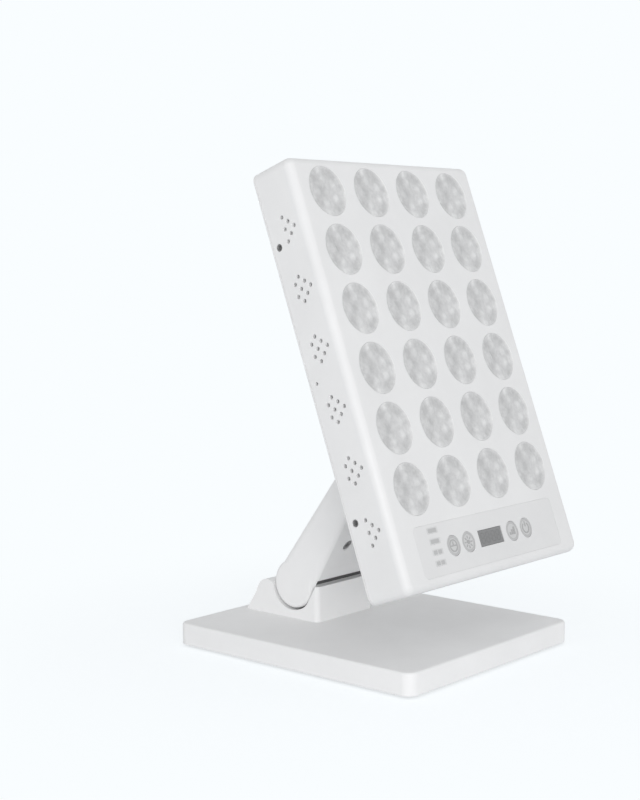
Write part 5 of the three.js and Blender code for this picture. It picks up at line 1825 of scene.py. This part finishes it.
@dataclass
class ControlStrip(SubAssembly):
    """The control strip: plate, keys with their symbols, marks, display and the board behind."""

    middle: float = -132.9
    width: float = 174.0
    height: float = 36.8
    corner: float = 4.0
    thickness: float = 2.5
    edge: float = 0.1
    key_rim: float = 0.2
    display_width: float = 29.4
    display_height: float = 12.0
    display_recess: float = 0.4
    display_back: float = 5.0
    display_edge: float = 0.35
    figures: Shares = (-9.6, -3.6, 3.6, 9.6)
    figure_half: float = 2.0
    figure_high: float = 3.7
    segment_half: float = 0.35
    segment_gap: float = 0.5
    colon: float = 1.6
    key_radius: float = 7.5
    key_dish: float = 0.25
    key_land: float = 0.8
    key_edge: float = 0.7
    collar: float = 0.9
    collar_thickness: float = 0.8
    ring_radius: float = 6.2
    ring_width: float = 1.3
    print_rise: float = 0.12
    print_depth: float = 0.55
    key_recess: float = 0.2
    key_offset: float = 27.9
    key_pitch: float = 18.2
    mark_x: float = -65.8
    mark_width: float = 12.4
    mark_height: float = 4.2
    mark_pitch: float = 7.75
    mark_corner: float = 0.5
    mark_margin: float = 0.05
    mark_sink: float = 0.02
    mark_thickness: float = 0.25
    bar_height: float = 2.9
    bar_corner: float = 0.6
    bar_rise: float = 0.12
    mark_rise: float = 2.2
    seam: float = 0.1
    symbols: dict[str, Callable[[], Solid]] = field(default_factory=dict)

    def __post_init__(self) -> None:
        """Says which symbol each key carries."""
        self.symbols = {"key_timer": self._clock, "key_mode": self._rays, "key_level": self._steps,
                        "key_power": self._power}

    def build(self) -> None:
        """Makes every piece of the control strip."""
        self._plate()
        self._keys()
        self._marks()
        self._display()
        self.bench.dress(["control_board"], CIRCUIT)

    @property
    def place(self) -> Matrix:
        """The frame of the strip: its middle in the front face."""
        return self.rig.lamp @ Matrix.Translation((0, 0, self.middle))

    def _key_places(self) -> dict[str, float]:
        """How far across each key stands."""
        return {"key_timer": -self.key_offset - self.key_pitch, "key_mode": -self.key_offset,
                "key_level": self.key_offset, "key_power": self.key_offset + self.key_pitch}

    def _mark_heights(self) -> list[float]:
        """How high each mark stands."""
        return [self.mark_rise + (1.5 - i) * self.mark_pitch for i in range(4)]

    def _plate(self) -> None:
        """Makes the strip's plate with rounded rims round its keys."""
        outline = rounded_rectangle(0, 0, self.width, self.height, self.corner, 10)
        plate = Solid.prism(Axis.Y, outline, 0, self.thickness).softened(self.edge, 2, 60)
        gap, through = self.seam, self.thickness + OVERRUN
        half, high = self.display_width / 2 + gap, self.display_height / 2 + gap
        cutters = [rounded_bore(Axis.Y, x, 0, self.key_radius + gap, self.key_rim, 0, through,
                                OVERRUN, 72) for x in self._key_places().values()]
        openings = [rectangle(-half, -high, half, high)]
        openings += [rounded_rectangle(self.mark_x, z, self.mark_width, self.mark_height,
                                       self.mark_corner, 4) for z in self._mark_heights()]
        cutters += [Solid.prism(Axis.Y, outline, -OVERRUN, through) for outline in openings]
        self.bench.piece("control_plate_film", plate.minus(Solid.together(cutters)), self.place,
                         STRIP, "panel", "control_strip", ["control_plate"])

    def _keys(self) -> None:
        """Makes the four keys and their raised symbols."""
        radius, front, thick = self.key_radius, self.key_recess, self.collar_thickness
        back, collar = self.thickness + self.rig.gap + thick, radius + self.collar
        profile = [(front + self.key_dish * (1 - share * share), (radius - self.key_land) * share)
                   for share in (i / 5 for i in range(6))]
        profile += [(front + along, radius - inset) for along, inset in rounding(self.key_edge, 4)[1:]]
        profile += [(back - thick, radius), (back - thick, collar), (back, collar)]
        for name, x in self._key_places().items():
            place = self.place @ Matrix.Translation((x, 0, 0))
            key = Solid.turned(Axis.Y, 0, 0, profile, 56)
            self.bench.piece(name + "_cap", key, place, KEY, name, "key", [name])
            self.bench.piece(name + "_symbol", self.symbols[name](), place, PRINT, name, "key")
            ring = self._printed([ring_sector(0, 0, self.ring_radius, self.ring_width, 0.01,
                                              FULL_TURN - 0.01, 64)])
            self.bench.piece(name + "_ring", ring, place, RING_PRINT, name, "key")

    def _printed(self, outlines: Sequence[Outline]) -> Solid:
        """Raised print of these outlines on a key."""
        front = self.key_recess - self.print_rise
        return Solid.together([Solid.prism(Axis.Y, line, front, front + self.print_depth)
                               for line in outlines])

    def _clock(self) -> Solid:
        """A clock face."""
        return self._printed([ring_sector(0, 0, 4.1, 0.9, 0.02, FULL_TURN - 0.02, 40),
            rectangle(-0.45, 0.5, 0.45, 3.0), rectangle(-3.6, -0.5, 3.6, 0.4)])

    def _rays(self) -> Solid:
        """A dot with eight rays."""
        deep = self.print_depth
        dot = Solid.prism(Axis.Z, circle(0, 0, 1.6, 24), 0, deep)
        rays = self.bench.repeat.repeated_round(Solid.block(2.6, 4.6, -0.38, 0.38, 0, deep), 8)
        back = Matrix.Translation((0, self.key_recess - self.print_rise + deep, 0))
        turned = back @ Matrix.Rotation(QUARTER_TURN, 4, "X")
        return Solid.together([dot.moved(turned), rays.moved(turned)])

    def _steps(self) -> Solid:
        """Three bars that rise to the right."""
        return self._printed([rectangle(-3.6 + 2.7 * i, -2.6, -1.8 + 2.7 * i, -0.6 + 1.8 * i)
                              for i in range(3)])

    def _power(self) -> Solid:
        """An open ring with a bar in its gap."""
        start = QUARTER_TURN + 0.6
        return self._printed([ring_sector(0, 0, 3.8, 0.95, start, start + FULL_TURN - 1.2, 36),
            rectangle(-0.45, 0.9, 0.45, 4.9)])

    def _marks(self) -> None:
        """Makes the four level marks: pale windows with one to four ticks."""
        windows, ticks = [], []
        sink, margin = self.mark_sink, self.mark_margin
        for number, z in enumerate(self._mark_heights()):
            windows.append(Solid.prism(Axis.Y, rounded_rectangle(
                self.mark_x, z, self.mark_width - 2 * margin, self.mark_height - 2 * margin,
                self.mark_corner - margin, 4), sink, sink + self.mark_thickness))
            count = 1 + number // 2
            length = (self.mark_width - 2.6) / count
            for i in range(count):
                x = self.mark_x + (i - (count - 1) / 2) * (length + 0.2)
                bar = rounded_rectangle(x, z, length - 0.3 * count, self.bar_height, self.bar_corner, 4)
                ticks.append(Solid.prism(Axis.Y, bar, 0, self.bar_rise))
        self.bench.piece("mark_windows", Solid.together(windows), self.place, MARK, "panel",
                         "control_strip")
        self.bench.piece("mark_ticks", Solid.together(ticks), self.place, RING_PRINT, "panel",
                         "control_strip")

    def _display(self) -> None:
        """Makes the smoked window and the unlit segments of four figures behind its face."""
        half, high = self.display_width / 2, self.display_height / 2
        window = Solid.block(-half, half, self.display_recess, self.display_back, -high, high)
        self.bench.piece("display_window", window.softened(self.display_edge, 2), self.place,
                         DISPLAY, "panel", "display", ["display"])
        thin, gap, tall = self.segment_half, self.segment_gap, self.figure_high
        wide, upright = self.figure_half - gap, tall / 2 - gap
        lines = []
        for x in self.figures:
            lines += [rectangle(x - wide, z - thin, x + wide, z + thin) for z in (-tall, 0, tall)]
            lines += [rectangle(a - thin, z - upright, a + thin, z + upright)
                      for a in (x - self.figure_half, x + self.figure_half)
                      for z in (-tall / 2, tall / 2)]
        lines += [circle(0, z, 0.5, 16) for z in (-self.colon, self.colon)]
        front = self.display_recess - 0.04
        digits = Solid.together([Solid.prism(Axis.Y, line, front, front + 0.3) for line in lines])
        self.bench.piece("display_segments", digits, self.place, DIGIT, "panel", "display")


@dataclass
class RearFittings(SubAssembly):
    """The power inlet and the rocker switch in the rear cover."""

    inlet_x: float = 75.25
    rocker_x: float = 40.25
    fitting_z: float = -132.5
    rocker_half: float = 7.6
    rocker_high: float = 4.7
    proud: float = 3.0
    dish: float = 1.2
    keel: float = 5.0
    keel_share: float = 0.33
    edge: float = 0.3
    tilt: float = radians(9)
    pivot: float = 1.0
    pivot_reach: float = 0.8
    pivot_set_back: float = 1.3
    symbol_up: float = 2.7
    symbol_rise: float = 0.1

    def build(self) -> None:
        """Makes every fitting."""
        self._copied("power_inlet", "power_inlet_moulded", self.inlet_x)
        self._copied("rocker_frame", "rocker_frame_moulded", self.rocker_x)
        self._rocker()

    def _copied(self, node: str, name: str, x: float) -> None:
        """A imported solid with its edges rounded."""
        place = self.rig.lamp @ Matrix.Translation((x, self.rig.panel_depth, self.fitting_z))
        self.bench.piece(name, Solid.of_node(node, place).softened(self.edge, 2), place, BLACK,
                         "panel", "black_plastic", [node])

    def _rocker(self) -> None:
        """Makes the rocker with its dished face and the symbols for on and off."""
        place = self.rig.lamp @ Matrix.Translation(
            (self.rocker_x, self.rig.panel_depth - self.pivot_set_back, self.fitting_z))
        place = place @ Matrix.Rotation(self.tilt, 4, "X")
        high, half = self.rocker_high, self.rocker_half
        face = [(self.proud - self.dish * (1 - t * t), t * high)
                for t in (i / 8 - 1 for i in range(17))]
        low = high * self.keel_share
        side = [*face, (0, high), (-self.keel, low), (-self.keel, -low), (0, -high)]
        body = Solid.prism(Axis.X, side, -half, half).softened(self.edge, 2)
        reach = half + self.pivot_reach
        pivots = Solid.cylinder(Axis.X, 0, 0, self.pivot, -reach, reach, 24)
        self.bench.piece("rocker_moulded", body.plus(pivots), place, BLACK, "rocker",
                         "black_plastic", ["rocker"])
        up = self.symbol_up
        depth = self.proud - self.dish * (1 - (up / high) ** 2)
        front = depth + self.symbol_rise
        line = Solid.block(-1.6, 1.6, depth - 0.2, front, up - 0.3, up + 0.3)
        ring = Solid.prism(Axis.Y, ring_sector(0, -up, 1.1, 0.5, 0.02, FULL_TURN - 0.02, 24),
                           depth - 0.25, front)
        self.bench.piece("rocker_symbols", Solid.together([line, ring]), place, WHITE_PRINT,
                         "rocker", "black_plastic")


# Room, light and camera


@dataclass
class Studio:
    """The pale floor, the soft light and the camera."""

    background: Colour = (0.948, 0.983, 1.0)
    horizon: float = 0.79
    zenith: float = 0.6
    front_share: float = 0.1
    key: float = 0.37
    key_toward: tuple[float, float, float] = (-0.68, -0.71, 0.12)
    camera_place: tuple[float, float, float] = (-0.9165, -0.7316, 0.3083)
    azimuth: float = radians(-49.34)
    elevation: float = radians(5.71)
    lens: float = 69.01
    sensor: float = 36.0
    key_distance: float = 2.6
    key_size: float = 1.3
    key_aim: tuple[float, float, float] = (0.0, -0.02, 0.16)
    sky: Colour = (0.985, 0.99, 1.0)
    floor: Colour = (0.9, 0.91, 0.92)
    floor_seen: Colour = (0.38, 0.39, 0.4)
    floor_lift: float = 0.7
    floor_half: float = 6.0
    floor_sink: float = 0.0002
    fade_start: float = 0.14
    fade_end: float = 0.42

    def build(self) -> None:
        """Makes the world, the floor, the lamp and the camera."""
        scene = bpy.context.scene
        scene.view_settings.view_transform = "Standard"
        self._world(scene)
        self._floor(scene)
        self._key_light(scene)
        self._camera(scene)

    def _seen(self, sheet: NodeSheet) -> Socket:
        """1 for rays from the camera, from gloss and through glass, else 0."""
        path = sheet.node("ShaderNodeLightPath").outputs
        first = sheet.sum("MAXIMUM", path["Is Camera Ray"], path["Is Glossy Ray"])
        return sheet.sum("MAXIMUM", first, path["Is Transmission Ray"])

    def _world(self, scene: bpy.types.Scene) -> None:
        """A calm sky, lighter low down and beside the camera, and the background where it is seen."""
        world = bpy.data.worlds.new("room")
        scene.world = world
        world.use_nodes = True
        sheet = NodeSheet(world.node_tree)
        world.node_tree.nodes.clear()
        way = sheet.node("ShaderNodeTexCoord").outputs["Generated"]
        up = sheet.node("ShaderNodeSeparateXYZ", {0: way}).outputs["Z"]
        height = sheet.ranged(up, 0, 1, self.horizon, self.zenith)
        near = Vector((*self.key_toward[:2], 0)).normalized() * self.front_share
        beside = sheet.node("ShaderNodeVectorMath", {0: way, 1: near}, operation="DOT_PRODUCT")
        level = sheet.sum("ADD", height, beside.outputs["Value"])
        light = sheet.node("ShaderNodeBackground", {0: (*self.sky, 1), 1: level})
        seen = sheet.node("ShaderNodeBackground", {0: (*self.background, 1), 1: 1.0})
        mixed = sheet.node("ShaderNodeMixShader", {
            0: self._seen(sheet), 1: light.outputs[0], 2: seen.outputs[0]})
        sheet.node("ShaderNodeOutputWorld", {0: mixed.outputs[0]})

    def _floor(self, scene: bpy.types.Scene) -> None:
        """A pale floor that keeps the shadow and fades into the background."""
        mesh = bpy.data.meshes.new("floor")
        half = self.floor_half
        corner = [(x, y, 0) for x, y in rectangle(-half, -half, half, half)]
        mesh.from_pydata(corner, [], [[0, 1, 2, 3]])
        floor = bpy.data.objects.new("floor", mesh)
        floor.location.z = -self.floor_sink
        scene.collection.objects.link(floor)
        material = bpy.data.materials.new("floor")
        material.use_nodes = True
        sheet = NodeSheet(material.node_tree)
        material.node_tree.nodes.clear()
        plain = sheet.node("ShaderNodeBsdfDiffuse", {0: (*self.floor, 1)})
        soft = sheet.node("ShaderNodeBsdfDiffuse", {0: (*self.floor_seen, 1)})
        lift = sheet.node("ShaderNodeEmission", {0: (*self.background, 1), 1: self.floor_lift})
        near = sheet.node("ShaderNodeAddShader", {0: soft.outputs[0], 1: lift.outputs[0]})
        far = sheet.node("ShaderNodeEmission", {0: (*self.background, 1), 1: 1.0})
        places = sheet.node("ShaderNodeTexCoord")
        away = sheet.node("ShaderNodeVectorMath", {0: places.outputs["Object"]}, operation="LENGTH")
        fade = sheet.node("ShaderNodeMapRange", {
            "Value": away.outputs["Value"], "From Min": self.fade_start,
            "From Max": self.fade_end}, interpolation_type="SMOOTHERSTEP")
        shown = sheet.node("ShaderNodeMixShader", {
            0: fade.outputs[0], 1: near.outputs[0], 2: far.outputs[0]})
        mixed = sheet.node("ShaderNodeMixShader", {
            0: self._seen(sheet), 1: plain.outputs[0], 2: shown.outputs[0]})
        sheet.node("ShaderNodeOutputMaterial", {0: mixed.outputs[0]})
        mesh.materials.append(material)

    def _key_light(self, scene: bpy.types.Scene) -> None:
        """A large soft lamp beside the camera."""
        data = bpy.data.lights.new("key", "AREA")
        data.shape = "DISK"
        data.size = self.key_size
        data.energy = self.key * pi ** 2 * self.key_distance ** 2
        lamp = bpy.data.objects.new("key", data)
        scene.collection.objects.link(lamp)
        toward = Vector(self.key_toward).normalized()
        lamp.location = Vector(self.key_aim) + toward * self.key_distance
        lamp.rotation_euler = toward.to_track_quat("Z", "Y").to_euler()

    def _camera(self, scene: bpy.types.Scene) -> None:
        """The camera, at the photograph's place and angle."""
        data = bpy.data.cameras.new("camera")
        data.lens = self.lens
        data.sensor_width = self.sensor
        camera = bpy.data.objects.new("camera", data)
        camera.location = self.camera_place
        camera.rotation_euler = (QUARTER_TURN - self.elevation, 0, self.azimuth)
        scene.collection.objects.link(camera)
        scene.camera = camera


def main() -> None:
    """Builds the whole scene."""
    logging.basicConfig(level=logging.INFO, format="%(name)s %(message)s")
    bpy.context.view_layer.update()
    rig = Rig()
    bench = Workbench()
    for kind in (Base, Arm, TiltHinge, LampHead, Fan, ControlStrip, RearFittings):
        LOG.info("%s", kind.__name__)
        kind(rig, bench).build()
    bench.check()
    Studio().build()


if __name__ == "__main__":
    main()
